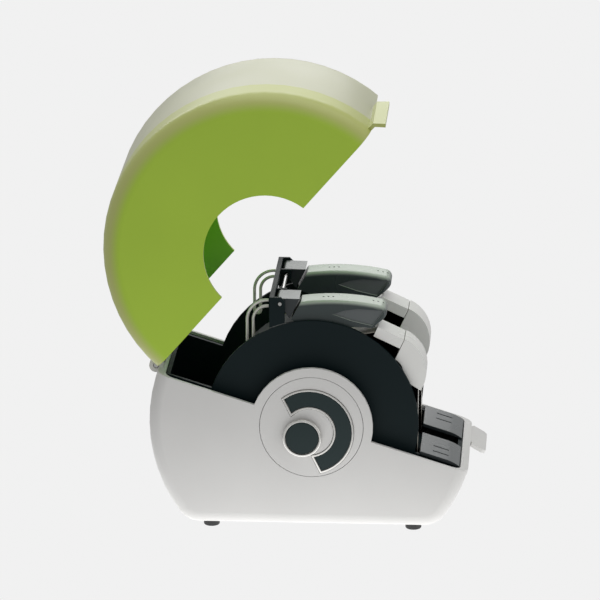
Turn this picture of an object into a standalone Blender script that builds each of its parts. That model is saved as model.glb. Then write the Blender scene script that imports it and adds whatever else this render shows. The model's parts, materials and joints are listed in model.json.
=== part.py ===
"""Twin-lane desk tape dispenser: a drum-shaped base with a hinged half-drum lid.

Metres, +Z up, +X towards the exit side, lanes side by side along Y. The origin is on the flat
underside of the base, straight below the drum axis. Helpers that take an outline work in the
drum's own plane: (x, z) measured from the drum axis, extruded along Y.
"""

import math

import bmesh
import bpy
from mathutils import Matrix, Vector

MM = 0.001

# Driving sizes of the drum.
DRUM_RADIUS = 101.0 * MM
DRUM_WIDTH = 110.0 * MM
AXIS_HEIGHT = 64.5 * MM
PARTING_TILT = math.radians(17.5)
PARTING_RISE = 2.5 * MM
HUB_RADIUS = 38.0 * MM
OPEN_ANGLE = math.radians(66.5)

# Shells.
BASE_EDGE = 8.0 * MM
BASE_CORNER = 16.0 * MM
BASE_RIM_WALL = 5.0 * MM
SIDE_WALL = 2.6 * MM
BASE_FLOOR = 3.0 * MM
LID_EDGE = 12.0 * MM
LID_WALL = 2.6 * MM
GAP = 0.3 * MM
FIT = 0.4 * MM

# Hinge.
HINGE_OUTSET = 1.9 * MM
BARREL_RADIUS = 4.3 * MM
HINGE_PIN_RADIUS = 1.6 * MM
BASE_KNUCKLE_NEAR = 27.0 * MM
BASE_KNUCKLE_FAR = 39.0 * MM
LID_KNUCKLE_LENGTH = 12.2 * MM
KNUCKLE_RELIEF = 0.5 * MM

# Finger tabs, side by side on the exit end: the lid's hangs over the rim, the base's stands out.
TAB_THICKNESS = 2.4 * MM
BASE_TAB_SLOPE = math.radians(-30.0)
BASE_TAB_INSET = 2.5 * MM
BASE_TAB_ROOT = 1.5 * MM
BASE_TAB_NECK = 3.9 * MM
BASE_TAB_LENGTH = 13.9 * MM
BASE_TAB_CENTRE = 29.3 * MM
BASE_TAB_NECK_HALF = 16.0 * MM
BASE_TAB_HALF = 18.8 * MM
LID_TAB_CENTRE = -19.5 * MM
LID_TAB_ROOT_HALF = 25.5 * MM
LID_TAB_END_HALF = 28.5 * MM
LID_TAB_REACH = 3.6 * MM
LID_TAB_LENGTH = 7.0 * MM

# Liner and its arches.
ARCH_RADIUS = 66.0 * MM
LINER_HALF_WIDTH = 46.5 * MM
LINER_WALL = 2.5 * MM
LINER_FLANGE = 2.0 * MM
LINER_SINK = 0.5 * MM
LINER_LEDGE_DROP = 1.2 * MM
LINER_FLOOR = 2.5 * MM
BALLAST_THICKNESS = 2.9 * MM
BALLAST_HALF_LENGTH = 62.0 * MM
BALLAST_HALF_WIDTH = 44.0 * MM

# Lanes.
TAPE_WIDTH = 18.0 * MM
CORE_RADIUS = 38.1 * MM
ROLL_RADIUS = 50.0 * MM
TAPE_THICKNESS = 0.4 * MM
STRAND_STRAIGHT_FROM = 3.0 * MM
STRAND_INSIDE = 1.2 * MM
STRAND_LAST_TURN = math.radians(-10.0)

# Axle, spools and drive.
AXLE_RADIUS = 4.0 * MM
BUSHING_WALL = 1.0 * MM
SPOOL_WALL = 2.2 * MM
SPOOL_FLANGE_RADIUS = 42.0 * MM
WASHER_THICKNESS = 0.9 * MM
DRIVE_PULLEY_RADIUS = 20.0 * MM
FEED_PULLEY_RADIUS = 7.0 * MM
PULLEY_WIDTH = 7.0 * MM
BELT_WIDTH = 5.0 * MM
BELT_THICKNESS = 1.2 * MM
FEED_X = 57.6 * MM
FEED_DROP = 41.0 * MM
FEED_SHAFT_RADIUS = 2.0 * MM
FEED_ROLLER_RADIUS = 6.6 * MM
HOUSING_RADIUS = 56.0 * MM
HOUSING_HALF_WIDTH = 14.5 * MM
HOUSING_WALL = 1.8 * MM

# Hand wheel.
WHEEL_RADIUS = 32.0 * MM
WHEEL_THICKNESS = 2.8 * MM
WHEEL_SHADOW_GAP = 0.3 * MM
WHEEL_BOSS_RADIUS = 8.0 * MM
CRESCENT_X = -1.2 * MM
CRESCENT_DROP = 3.1 * MM
CRESCENT_OUTER = 26.0 * MM
CRESCENT_INNER = 16.5 * MM
CRESCENT_CHORD = 4.3 * MM
CRESCENT_TURN = math.radians(206.5)
RIM_WIDTH = 1.15 * MM
RIM_PROUD = 0.6 * MM
THUMB_X = -5.6 * MM
THUMB_DROP = 6.3 * MM
THUMB_RADIUS = 12.0 * MM
THUMB_THICKNESS = 2.6 * MM
STUD_RADIUS = 3.0 * MM

# Bridge, covers and guides, seen along the lanes.
BRIDGE_LEFT = -26.5 * MM
BRIDGE_RIGHT = -17.0 * MM
BRIDGE_BAR_RIGHT = -23.6 * MM
BRIDGE_TOP = 80.6 * MM
BRIDGE_BAR_THICKNESS = 5.0 * MM
BRIDGE_CHAMFER = 2.5 * MM
BRIDGE_POST = 2.2 * MM
PIVOT_X = -20.0 * MM
PIVOT_OVER_ARCH = 12.9 * MM
PIVOT_PIN_RADIUS = 1.2 * MM
PIVOT_BARREL_RADIUS = 3.0 * MM
COVER_WALL = 2.2 * MM
COVER_ROUND = 3.0 * MM
LEAF_DEPTH = 0.9 * MM
SLEEVE_START = (39.0 * MM, 58.9 * MM)
SLEEVE_SLOPE = math.radians(-25.0)
SLEEVE_LENGTH = 18.0 * MM
SLEEVE_THICKNESS = 6.6 * MM
SLEEVE_WALL = 0.9 * MM
GUIDE_RADIUS = 19.4 * MM
GUIDE_OUTSIDE = 3.7 * MM
GUIDE_INSIDE = 11.0 * MM
GUIDE_WALL = 1.1 * MM
GUIDE_LAST_TURN = math.radians(-32.0)
WIRE_RADIUS = 1.0 * MM
WIRE_SPREAD = 3.8 * MM

# Exit heads.
HEAD_START = 69.0 * MM
HEAD_END = 92.2 * MM
HEAD_CAP_SETBACK = 0.6 * MM
HEAD_CAP_NEAR = 9.0 * MM
HEAD_CAP_OVERHANG = 1.4 * MM
HEAD_CAP_THICKNESS = 2.0 * MM
HEAD_BODY_HALF = 10.0 * MM
HEAD_DEPTH = 13.0 * MM
HEAD_STEP = 4.5 * MM
BLADE_THICKNESS = 0.6 * MM
BLADE_DEPTH = 10.0 * MM
TOOTH_DEPTH = 1.4 * MM
TEETH = 12
BLADE_CLEARANCE = 0.9 * MM
SLOT_WIDTH = 1.3 * MM
SLOT_OFFSET = 5.2 * MM

# Feet and screws.
FOOT_X = 63.0 * MM
FOOT_Y = 41.0 * MM
FOOT_RADIUS = 5.0 * MM
FOOT_HEIGHT = 4.4 * MM
FOOT_SEAT = 1.0 * MM
SCREW_X = 40.0 * MM
SCREW_Y = 30.0 * MM
SCREW_RADIUS = 1.5 * MM
SCREW_HEAD_RADIUS = 2.9 * MM
SCREW_HEAD_HEIGHT = 1.5 * MM

# What follows is worked out from the sizes above.
HALF_WIDTH = DRUM_WIDTH / 2
DIRECTION = Vector((math.cos(PARTING_TILT), -math.sin(PARTING_TILT)))
NORMAL = Vector((math.sin(PARTING_TILT), math.cos(PARTING_TILT)))
LINER_OUTER = DRUM_RADIUS - BASE_RIM_WALL - FIT
LINER_INNER = LINER_OUTER - LINER_WALL
LANE_WIDTH = TAPE_WIDTH + 2 * (SLEEVE_WALL + GAP)
LANE_OFFSET = LINER_HALF_WIDTH - LINER_WALL - GAP - LANE_WIDTH / 2
PIVOT_HEIGHT = math.sqrt((ARCH_RADIUS + PIVOT_OVER_ARCH) ** 2 - PIVOT_X**2)
HEAD_CAP_END = LINER_OUTER - HEAD_CAP_SETBACK
HEAD_CAP_FAR = LINER_HALF_WIDTH + HEAD_CAP_OVERHANG
LINER_BOTTOM = -AXIS_HEIGHT + BASE_FLOOR + BALLAST_THICKNESS + 2 * GAP
HINGE_RADIUS = DRUM_RADIUS + HINGE_OUTSET
HINGE_TURN = math.pi - PARTING_TILT - math.asin(PARTING_RISE / HINGE_RADIUS)
HINGE = Vector((HINGE_RADIUS * math.cos(HINGE_TURN), HINGE_RADIUS * math.sin(HINGE_TURN)))
FEED_Z = -FEED_DROP

parts = bpy.data.collections.new("tape_dispenser")
cutters = bpy.data.collections.new("cutters")


def clear_scene():
    for old in list(bpy.data.objects):
        bpy.data.objects.remove(old, do_unlink=True)
    bpy.context.scene.collection.children.link(parts)
    bpy.context.scene.collection.children.link(cutters)


def make_material(name, colour, roughness, metallic=0.0, transmission=0.0):
    made = bpy.data.materials.new(name)
    made.use_nodes = True
    shader = made.node_tree.nodes["Principled BSDF"]
    shader.inputs["Base Color"].default_value = (*colour, 1.0)
    shader.inputs["Roughness"].default_value = roughness
    shader.inputs["Metallic"].default_value = metallic
    shader.inputs["Transmission Weight"].default_value = transmission
    return made


clear_scene()
WHITE = make_material("white_plastic", (0.78, 0.78, 0.77), 0.35)
LIME = make_material("lime_translucent", (0.30, 0.42, 0.05), 0.35, transmission=0.3)
BLACK = make_material("black_plastic", (0.012, 0.018, 0.020), 0.5)
DARK = make_material("dark_inlay", (0.020, 0.035, 0.038), 0.4)
SMOKE = make_material("smoke_plastic", (0.10, 0.11, 0.105), 0.2, transmission=0.3)
CLEAR = make_material("clear_plastic", (0.85, 0.87, 0.86), 0.1, transmission=0.9)
CHROME = make_material("chrome", (0.80, 0.80, 0.78), 0.12, 1.0)
STEEL = make_material("steel", (0.60, 0.60, 0.60), 0.3, 1.0)
RUBBER = make_material("rubber", (0.06, 0.06, 0.06), 0.8)
GREY = make_material("grey_plastic", (0.30, 0.31, 0.31), 0.4)
FELT = make_material("felt", (0.25, 0.25, 0.24), 0.95)
TAPE = make_material("tape_film", (0.70, 0.68, 0.60), 0.2, transmission=0.5)


# Points of outlines, in the plane of the drum.


def arc(centre, radius, start, end, steps):
    """Points along an arc, both ends included; the angles are radians from +X towards +Z."""
    turns = [start + (end - start) * i / steps for i in range(steps + 1)]
    return [(centre[0] + radius * math.cos(t), centre[1] + radius * math.sin(t)) for t in turns]


def along_parting(distance, rise=0.0):
    """A point given by its distance along the parting plane and its rise over it."""
    point = DIRECTION * distance + NORMAL * (PARTING_RISE + rise)
    return (point.x, point.y)


def parting_turns(radius, rise=0.0):
    """The angles at which a circle about the axis meets the parting plane, left and right."""
    dip = math.asin((PARTING_RISE + rise) / radius)
    return math.pi - PARTING_TILT - dip, dip - PARTING_TILT


def drum_outline(radius, bottom, corner, steps):
    """The whole drum with its flat bottom and the rounded corners that lead to it."""
    corner_z = bottom + corner
    swing = math.acos(-corner_z / (radius - corner))
    left = 1.5 * math.pi - swing
    right = swing - math.pi / 2
    centre_x = (radius - corner) * math.sin(swing)
    points = arc((0, 0), radius, right, left, steps)
    points += arc((-centre_x, corner_z), corner, left, 1.5 * math.pi, 4)[1:]
    points += arc((centre_x, corner_z), corner, 1.5 * math.pi, right + 2 * math.pi, 4)[:-1]
    return points


def over_parting_outline(radius, rise, steps):
    """All that lies over the parting plane, except a half disc of this radius about the axis."""
    reach = 2 * DRUM_RADIUS
    left, right = parting_turns(radius, rise)
    points = [along_parting(-reach, rise)]
    points += arc((0, 0), radius, left, right, steps)
    points += [along_parting(reach, rise), (reach, reach), (-reach, reach)]
    return points[::-1]


# Objects.


def place(obj, material, collection=parts):
    collection.objects.link(obj)
    obj.data.materials.clear()
    obj.data.materials.append(material)
    if collection is cutters:
        obj.hide_render = True
        obj.display_type = "WIRE"
    return obj


def smooth(mesh, angle=math.radians(35)):
    mesh.shade_smooth()
    mesh.set_sharp_from_angle(angle=angle)


def settled(obj, flat_faces=False, fresh=True):
    """The object as it is evaluated, made a plain mesh object at the origin."""
    bpy.context.view_layer.update()
    graph = bpy.context.evaluated_depsgraph_get()
    mesh = bpy.data.meshes.new_from_object(obj.evaluated_get(graph))
    mesh.transform(obj.matrix_world)
    name = obj.name
    material = obj.data.materials[0] if obj.data.materials else WHITE
    collection = obj.users_collection[0]
    bpy.data.objects.remove(obj, do_unlink=True)
    form = bmesh.new()
    form.from_mesh(mesh)
    bmesh.ops.remove_doubles(form, verts=form.verts, dist=1e-6)
    if flat_faces:
        bmesh.ops.dissolve_limit(
            form, angle_limit=math.radians(0.05), verts=form.verts, edges=form.edges
        )
    if fresh:
        bmesh.ops.recalc_face_normals(form, faces=form.faces)
    form.to_mesh(mesh)
    form.free()
    made = bpy.data.objects.new(name, mesh)
    made.name = name
    smooth(mesh)
    return place(made, material, collection)


def slab(name, rings, y_from, y_to, material, collection=parts):
    """A flat outline, with any further rings as holes, extruded between two Y values."""
    curve = bpy.data.curves.new(name, "CURVE")
    curve.dimensions = "2D"
    curve.fill_mode = "BOTH"
    curve.extrude = (y_to - y_from) / 2
    for ring in rings:
        spline = curve.splines.new("POLY")
        spline.points.add(len(ring) - 1)
        spline.use_cyclic_u = True
        for point, (x, z) in zip(spline.points, ring):
            point.co = (x, z, 0, 1)
    obj = bpy.data.objects.new(name, curve)
    obj.rotation_euler = (math.pi / 2, 0, 0)
    obj.location = (0, (y_from + y_to) / 2, AXIS_HEIGHT)
    place(obj, material, collection)
    return settled(obj, flat_faces=True)


def plan_slab(name, rings, z_from, z_to, material, collection=parts):
    """A flat outline given in (x, y), extruded between two heights over the origin."""
    curve = bpy.data.curves.new(name, "CURVE")
    curve.dimensions = "2D"
    curve.fill_mode = "BOTH"
    curve.extrude = (z_to - z_from) / 2
    for ring in rings:
        spline = curve.splines.new("POLY")
        spline.points.add(len(ring) - 1)
        spline.use_cyclic_u = True
        for point, (x, y) in zip(spline.points, ring):
            point.co = (x, y, 0, 1)
    obj = bpy.data.objects.new(name, curve)
    obj.location = (0, 0, (z_from + z_to) / 2)
    place(obj, material, collection)
    return settled(obj, flat_faces=True)


def turned(name, profile, centre, material, steps=32, collection=parts, upright=False):
    """A profile of (radius, y) points turned about an axis along Y, or along Z if upright.

    The profile is closed on itself, unless it starts and ends on the axis.
    """
    mesh = bpy.data.meshes.new(name)
    points = [(radius, 0, height) for radius, height in profile]
    count = len(points)
    edges = [(i, (i + 1) % count) for i in range(count)]
    if points[0][0] == points[-1][0] == 0:
        edges.pop()
    mesh.from_pydata(points, edges, [])
    obj = bpy.data.objects.new(name, mesh)
    place(obj, material, collection)
    screw = obj.modifiers.new("turn", "SCREW")
    screw.axis = "Z"
    screw.steps = steps
    screw.render_steps = steps
    screw.use_merge_vertices = True
    screw.merge_threshold = 1e-6
    obj.location = (centre[0], 0, centre[1] + AXIS_HEIGHT)
    if upright:
        obj.location = (centre[0], centre[1], 0)
    else:
        obj.rotation_euler = (-math.pi / 2, 0, 0)
    return settled(obj)


def disc(name, centre, radius, y_from, y_to, material, steps=32, collection=parts):
    """A plain cylinder along Y."""
    mesh = bpy.data.meshes.new(name)
    form = bmesh.new()
    bmesh.ops.create_cone(
        form, cap_ends=True, segments=steps, radius1=radius, radius2=radius, depth=y_to - y_from
    )
    form.to_mesh(mesh)
    form.free()
    obj = bpy.data.objects.new(name, mesh)
    obj.rotation_euler = (math.pi / 2, 0, 0)
    obj.location = (centre[0], (y_from + y_to) / 2, centre[1] + AXIS_HEIGHT)
    place(obj, material, collection)
    return settled(obj)


def post(name, centre, radius, z_from, z_to, material, steps=20, collection=parts):
    """A plain upright cylinder; its centre is (x, y)."""
    mesh = bpy.data.meshes.new(name)
    form = bmesh.new()
    bmesh.ops.create_cone(
        form, cap_ends=True, segments=steps, radius1=radius, radius2=radius, depth=z_to - z_from
    )
    form.to_mesh(mesh)
    form.free()
    obj = bpy.data.objects.new(name, mesh)
    obj.location = (centre[0], centre[1], (z_from + z_to) / 2)
    place(obj, material, collection)
    return settled(obj)


def box_outline(left, right, bottom, top):
    return [(left, bottom), (right, bottom), (right, top), (left, top)]


def parting_box(left, right, bottom, top):
    """A rectangle whose sides follow the parting plane."""
    corners = [(left, bottom), (right, bottom), (right, top), (left, top)]
    return [along_parting(along, rise) for along, rise in corners]


def combine(obj, other, operation):
    """Cuts, joins or intersects at once, so that the order of the steps is the order of the code."""
    if other.name not in cutters.objects:
        for collection in other.users_collection:
            collection.objects.unlink(other)
        cutters.objects.link(other)
    other.hide_render = True
    other.display_type = "WIRE"
    boolean = obj.modifiers.new(operation.lower(), "BOOLEAN")
    boolean.operation = operation
    boolean.object = other
    result = settled(obj, fresh=False)
    bpy.data.objects.remove(other, do_unlink=True)
    return result


def cut(obj, *others):
    for other in others:
        obj = combine(obj, other, "DIFFERENCE")
    return obj


def join(obj, *others):
    for other in others:
        obj = combine(obj, other, "UNION")
    return obj


def round_edges(obj, width, segments, chosen):
    """Bevels the edges for which chosen(first end, second end) is true."""
    form = bmesh.new()
    form.from_mesh(obj.data)
    edges = [edge for edge in form.edges if chosen(edge.verts[0].co, edge.verts[1].co)]
    bmesh.ops.bevel(
        form, geom=edges, offset=width, segments=segments, profile=0.5, affect="EDGES",
        clamp_overlap=False,
    )
    bmesh.ops.remove_doubles(form, verts=form.verts, dist=1e-6)
    form.to_mesh(obj.data)
    form.free()
    smooth(obj.data)
    return obj


def on_side(y_side):
    """Chooses the edges that lie in the two side faces at this |Y|."""
    return lambda a, b: a.y * b.y > 0 and all(abs(abs(co.y) - y_side) < 1e-5 for co in (a, b))


# The base.


def make_base():
    outline = drum_outline(DRUM_RADIUS, -AXIS_HEIGHT, BASE_CORNER, 44)
    base = slab("base_shell", [outline], -HALF_WIDTH, HALF_WIDTH, WHITE)
    base = round_edges(base, BASE_EDGE, 4, on_side(HALF_WIDTH))
    inner_half = HALF_WIDTH - SIDE_WALL
    hollow = drum_outline(
        DRUM_RADIUS - BASE_RIM_WALL, -AXIS_HEIGHT + BASE_FLOOR, BASE_CORNER - BASE_RIM_WALL, 44
    )
    cavity = slab("cavity", [hollow], -inner_half, inner_half, WHITE, cutters)
    cavity = round_edges(cavity, BASE_EDGE - SIDE_WALL, 3, on_side(inner_half))
    upper = slab("upper", [over_parting_outline(HUB_RADIUS, 0, 20)], -DRUM_WIDTH, DRUM_WIDTH, WHITE,
                 cutters)
    base = cut(base, upper, cavity)
    base = cut(
        base,
        disc("wheel_hole", (0, 0), WHEEL_RADIUS + WHEEL_SHADOW_GAP, -HALF_WIDTH - SIDE_WALL,
             -HALF_WIDTH + 2 * SIDE_WALL, WHITE, 48, cutters),
    )
    for side in (-1, 1):
        near, far = sorted((side * BASE_KNUCKLE_NEAR, side * BASE_KNUCKLE_FAR))
        base = join(base, disc("knuckle", HINGE, BARREL_RADIUS, near, far, WHITE, 24))
        lid_near, lid_far = lid_knuckle_span(side)
        base = cut(
            base,
            disc("relief", HINGE, BARREL_RADIUS + KNUCKLE_RELIEF, lid_near - KNUCKLE_RELIEF,
                 lid_far + KNUCKLE_RELIEF, WHITE, 24, cutters),
        )
    bore = BASE_KNUCKLE_FAR + MM
    base = cut(base, disc("bore", HINGE, HINGE_PIN_RADIUS + GAP, -bore, bore, WHITE, 16, cutters))
    base = join(base, base_tab())
    for x, y in four_corners(FOOT_X, FOOT_Y):
        base = cut(
            base,
            post("foot_seat", (x, y), FOOT_RADIUS + GAP, -MM, FOOT_SEAT, WHITE, 20, cutters),
            post("foot_hole", (x, y), foot_stem() + GAP, -MM, 2 * BASE_FLOOR, WHITE, 16, cutters),
        )
    for x, y in four_corners(SCREW_X, SCREW_Y):
        head_room = SCREW_HEAD_HEIGHT + GAP
        base = cut(
            base,
            post("head_hole", (x, y), SCREW_HEAD_RADIUS + GAP, -MM, head_room, WHITE, 16, cutters),
            post("shank_hole", (x, y), SCREW_RADIUS + GAP, -MM, 2 * BASE_FLOOR, WHITE, 16, cutters),
        )
    return base


def lid_knuckle_span(side):
    inner = side * (BASE_KNUCKLE_NEAR - GAP - LID_KNUCKLE_LENGTH)
    outer = side * (BASE_KNUCKLE_NEAR - GAP)
    return min(inner, outer), max(inner, outer)


def four_corners(x, y):
    return [(-x, -y), (x, -y), (-x, y), (x, y)]


def foot_stem():
    return FOOT_RADIUS * 0.4


def base_tab():
    """A T-shaped tab drawn flat from the rim outwards, then sloped down."""
    neck_end = BASE_TAB_NECK
    outline = [
        (-BASE_TAB_ROOT, -BASE_TAB_NECK_HALF),
        (neck_end, -BASE_TAB_NECK_HALF),
        (neck_end, -BASE_TAB_HALF),
        (BASE_TAB_LENGTH - 2 * MM, -BASE_TAB_HALF),
        (BASE_TAB_LENGTH, -BASE_TAB_HALF + 2 * MM),
        (BASE_TAB_LENGTH, BASE_TAB_HALF - 2 * MM),
        (BASE_TAB_LENGTH - 2 * MM, BASE_TAB_HALF),
        (neck_end, BASE_TAB_HALF),
        (neck_end, BASE_TAB_NECK_HALF),
        (-BASE_TAB_ROOT, BASE_TAB_NECK_HALF),
    ]
    tab = plan_slab("base_tab", [outline], -TAB_THICKNESS, 0, WHITE)
    start = along_parting(DRUM_RADIUS - BASE_TAB_INSET, -LINER_SINK)
    turn = Matrix.Rotation(-BASE_TAB_SLOPE, 4, "Y")
    shift = Matrix.Translation((start[0], BASE_TAB_CENTRE, start[1] + AXIS_HEIGHT))
    tab.data.transform(shift @ turn)
    return tab


def make_feet():
    stem = foot_stem()
    for number, (x, y) in enumerate(four_corners(FOOT_X, FOOT_Y), 1):
        profile = [
            (0, BASE_FLOOR),
            (stem, BASE_FLOOR),
            (stem, FOOT_SEAT - GAP),
            (FOOT_RADIUS, FOOT_SEAT - GAP),
            (FOOT_RADIUS, -FOOT_HEIGHT + MM),
            (FOOT_RADIUS - MM, -FOOT_HEIGHT),
            (0, -FOOT_HEIGHT),
        ]
        turned(f"foot_{number}", profile, (x, y), RUBBER, 20, upright=True)


def make_screws():
    top = LINER_BOTTOM + AXIS_HEIGHT + LINER_FLOOR - GAP
    for number, (x, y) in enumerate(four_corners(SCREW_X, SCREW_Y), 1):
        profile = [
            (0, top),
            (SCREW_RADIUS, top),
            (SCREW_RADIUS, SCREW_HEAD_HEIGHT),
            (SCREW_HEAD_RADIUS, SCREW_HEAD_HEIGHT),
            (SCREW_HEAD_RADIUS, GAP),
            (0, GAP),
        ]
        turned(f"liner_screw_{number}", profile, (x, y), STEEL, 16, upright=True)


def make_ballast():
    low = BASE_FLOOR + GAP
    outline = box_outline(
        -BALLAST_HALF_LENGTH, BALLAST_HALF_LENGTH, -BALLAST_HALF_WIDTH, BALLAST_HALF_WIDTH
    )
    ballast = plan_slab("ballast_plate", [outline], low, low + BALLAST_THICKNESS, STEEL)
    for x, y in four_corners(SCREW_X, SCREW_Y):
        hole = post("hole", (x, y), SCREW_RADIUS + GAP, 0, 2 * low + BALLAST_THICKNESS, STEEL, 16,
                    cutters)
        ballast = cut(ballast, hole)
    return ballast


# The liner.


def make_liner():
    outline = drum_outline(LINER_OUTER, LINER_BOTTOM, BASE_CORNER - BASE_RIM_WALL, 44)
    liner = slab("inner_liner", [outline], -LINER_HALF_WIDTH, LINER_HALF_WIDTH, BLACK)
    hollow = drum_outline(LINER_INNER, LINER_BOTTOM + LINER_FLOOR, BASE_CORNER / 2, 44)
    inside = LINER_HALF_WIDTH - LINER_WALL
    upper = over_parting_outline(ARCH_RADIUS, -LINER_SINK, 26)
    liner = cut(
        liner,
        slab("upper", [upper], -DRUM_WIDTH, DRUM_WIDTH, BLACK, cutters),
        slab("tub", [hollow], -inside, inside, BLACK, cutters),
    )
    liner = join(liner, liner_flange())
    reach = LINER_HALF_WIDTH + MM
    liner = cut(
        liner,
        disc("axle_bore", (0, 0), AXLE_RADIUS + BUSHING_WALL + 2 * GAP, -reach, reach, BLACK, 20,
             cutters),
        disc("boss_room", (0, 0), WHEEL_BOSS_RADIUS + MM, -HALF_WIDTH, -LINER_HALF_WIDTH, BLACK,
             24, cutters),
        disc("feed_bore", (FEED_X, FEED_Z), FEED_SHAFT_RADIUS + GAP, -reach, reach, BLACK, 16,
             cutters),
    )
    for x, y in four_corners(SCREW_X, SCREW_Y):
        liner = cut(liner, post("hole", (x, y), SCREW_RADIUS + GAP, 0, 16 * MM, BLACK, 16, cutters))
    return liner


def liner_flange():
    """The ledge that closes the gap between the liner and the side walls of the base."""
    outer_half = HALF_WIDTH - SIDE_WALL - FIT
    inner_half = LINER_HALF_WIDTH - LINER_WALL / 2
    corner = BASE_EDGE - SIDE_WALL
    reach = LINER_OUTER
    outline = []
    for sx, sy, start in ((1, 1, 0), (-1, 1, 90), (-1, -1, 180), (1, -1, 270)):
        centre = (sx * (reach - corner), sy * (outer_half - corner))
        outline += arc(centre, corner, math.radians(start), math.radians(start + 90), 4)
    inner_reach = LINER_INNER + LINER_WALL / 2
    hole = box_outline(-inner_reach, inner_reach, -inner_half, inner_half)
    top = -LINER_SINK - LINER_LEDGE_DROP
    flange = plan_slab("flange", [outline, hole], top - LINER_FLANGE, top, BLACK)
    seat = along_parting(0)
    turn = Matrix.Rotation(PARTING_TILT, 4, "Y")
    flange.data.transform(Matrix.Translation((seat[0], 0, seat[1] + AXIS_HEIGHT)) @ turn)
    return flange


# The lid is modelled closed, then turned open about the hinge.


def make_lid():
    inner_hub = HUB_RADIUS + FIT
    outer = []
    fillet = LID_EDGE
    half = HALF_WIDTH
    near = (DRUM_RADIUS - fillet, half - fillet)
    steps = 5
    for i in range(steps + 1):
        turn = math.pi / 2 * (1 - i / steps)
        outer.append((near[0] + fillet * math.cos(turn), near[1] + fillet * math.sin(turn)))
    inner = []
    small = fillet - LID_WALL
    for i in range(steps + 1):
        turn = math.pi / 2 * (1 - i / steps)
        inner.append((near[0] + small * math.cos(turn), near[1] + small * math.sin(turn)))
    right_side = [(inner_hub, half)] + outer
    left_side = [(r, -y) for r, y in reversed(right_side)]
    inside_right = [(inner_hub, half - LID_WALL)] + inner
    inside_left = [(r, -y) for r, y in reversed(inside_right)]
    profile = right_side + left_side + list(reversed(inside_left)) + list(reversed(inside_right))
    lid = turned("lid", profile, (0, 0), LIME, 60)
    reach = 2 * DRUM_RADIUS
    upper = slab("upper", [parting_box(-reach, reach, -reach, GAP)], -DRUM_WIDTH, DRUM_WIDTH, LIME,
                 cutters)
    lid = cut(lid, upper)
    lid = join(lid, lid_tab())
    for side in (-1, 1):
        near_y, far_y = sorted(
            (side * (BASE_KNUCKLE_NEAR - KNUCKLE_RELIEF / 2), side * (BASE_KNUCKLE_FAR + KNUCKLE_RELIEF))
        )
        relief = disc("relief", HINGE, BARREL_RADIUS + KNUCKLE_RELIEF, near_y, far_y, LIME, 24,
                      cutters)
        lid = cut(lid, relief)
        start, end = lid_knuckle_span(side)
        lid = join(lid, disc("knuckle", HINGE, BARREL_RADIUS, start, end, LIME, 24))
    bore = BASE_KNUCKLE_FAR
    return cut(lid, disc("bore", HINGE, HINGE_PIN_RADIUS + GAP, -bore, bore, LIME, 16, cutters))


def lid_tab():
    """A flared tab that leaves the lid's edge outwards and then hangs over the rim of the base."""
    start = Vector(along_parting(DRUM_RADIUS - LID_WALL / 2, GAP + TAB_THICKNESS / 2))
    elbow = start + DIRECTION * (LID_WALL / 2 + LID_TAB_REACH)
    hang = Vector((math.cos(OPEN_ANGLE), -math.sin(OPEN_ANGLE)))
    end = elbow + hang * LID_TAB_LENGTH
    half = TAB_THICKNESS / 2
    across_hang = Vector((-hang.y, hang.x))
    bend = (NORMAL + across_hang).normalized() * (half / math.cos((OPEN_ANGLE - PARTING_TILT) / 2))
    upper = [start + NORMAL * half, elbow + bend, end + across_hang * half]
    lower = [end - across_hang * half, elbow - bend, start - NORMAL * half]
    outline = [(p.x, p.y) for p in upper + lower]
    low = LID_TAB_CENTRE - LID_TAB_END_HALF
    high = LID_TAB_CENTRE + LID_TAB_END_HALF
    tab = slab("lid_tab", [outline], low, high, LIME)
    taper = LID_TAB_END_HALF - LID_TAB_ROOT_HALF
    for vertex in tab.data.vertices:
        from_root = (vertex.co.x - start.x) / (end.x - start.x)
        side = 1 if vertex.co.y > LID_TAB_CENTRE else -1
        vertex.co.y -= side * taper * max(0.0, 1.0 - from_root)
    return tab


def hang_lid(lid):
    """Parents the lid to an empty on the hinge axis and turns the empty open."""
    pivot = bpy.data.objects.new("lid_axis", None)
    parts.objects.link(pivot)
    pivot.location = (HINGE.x, 0, HINGE.y + AXIS_HEIGHT)
    lid.data.transform(Matrix.Translation((-HINGE.x, 0, -HINGE.y - AXIS_HEIGHT)))
    lid.parent = pivot
    pivot.rotation_euler = (0, -OPEN_ANGLE, 0)


# Hand wheel in the front hub.


def crescent_outline(grow, steps=22):
    """The crescent, larger all round by grow; its straight ends lie on one chord."""
    outer = CRESCENT_OUTER + grow
    inner = CRESCENT_INNER - grow
    chord = CRESCENT_CHORD + grow
    outer_turn = math.pi - math.acos(chord / outer)
    inner_turn = math.pi - math.acos(chord / inner)
    centre = (CRESCENT_X, -CRESCENT_DROP)
    opening = CRESCENT_TURN + math.pi
    points = arc(centre, outer, opening - outer_turn, opening + outer_turn, steps)
    points += arc(centre, inner, opening + inner_turn, opening - inner_turn, steps)
    return points


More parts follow.
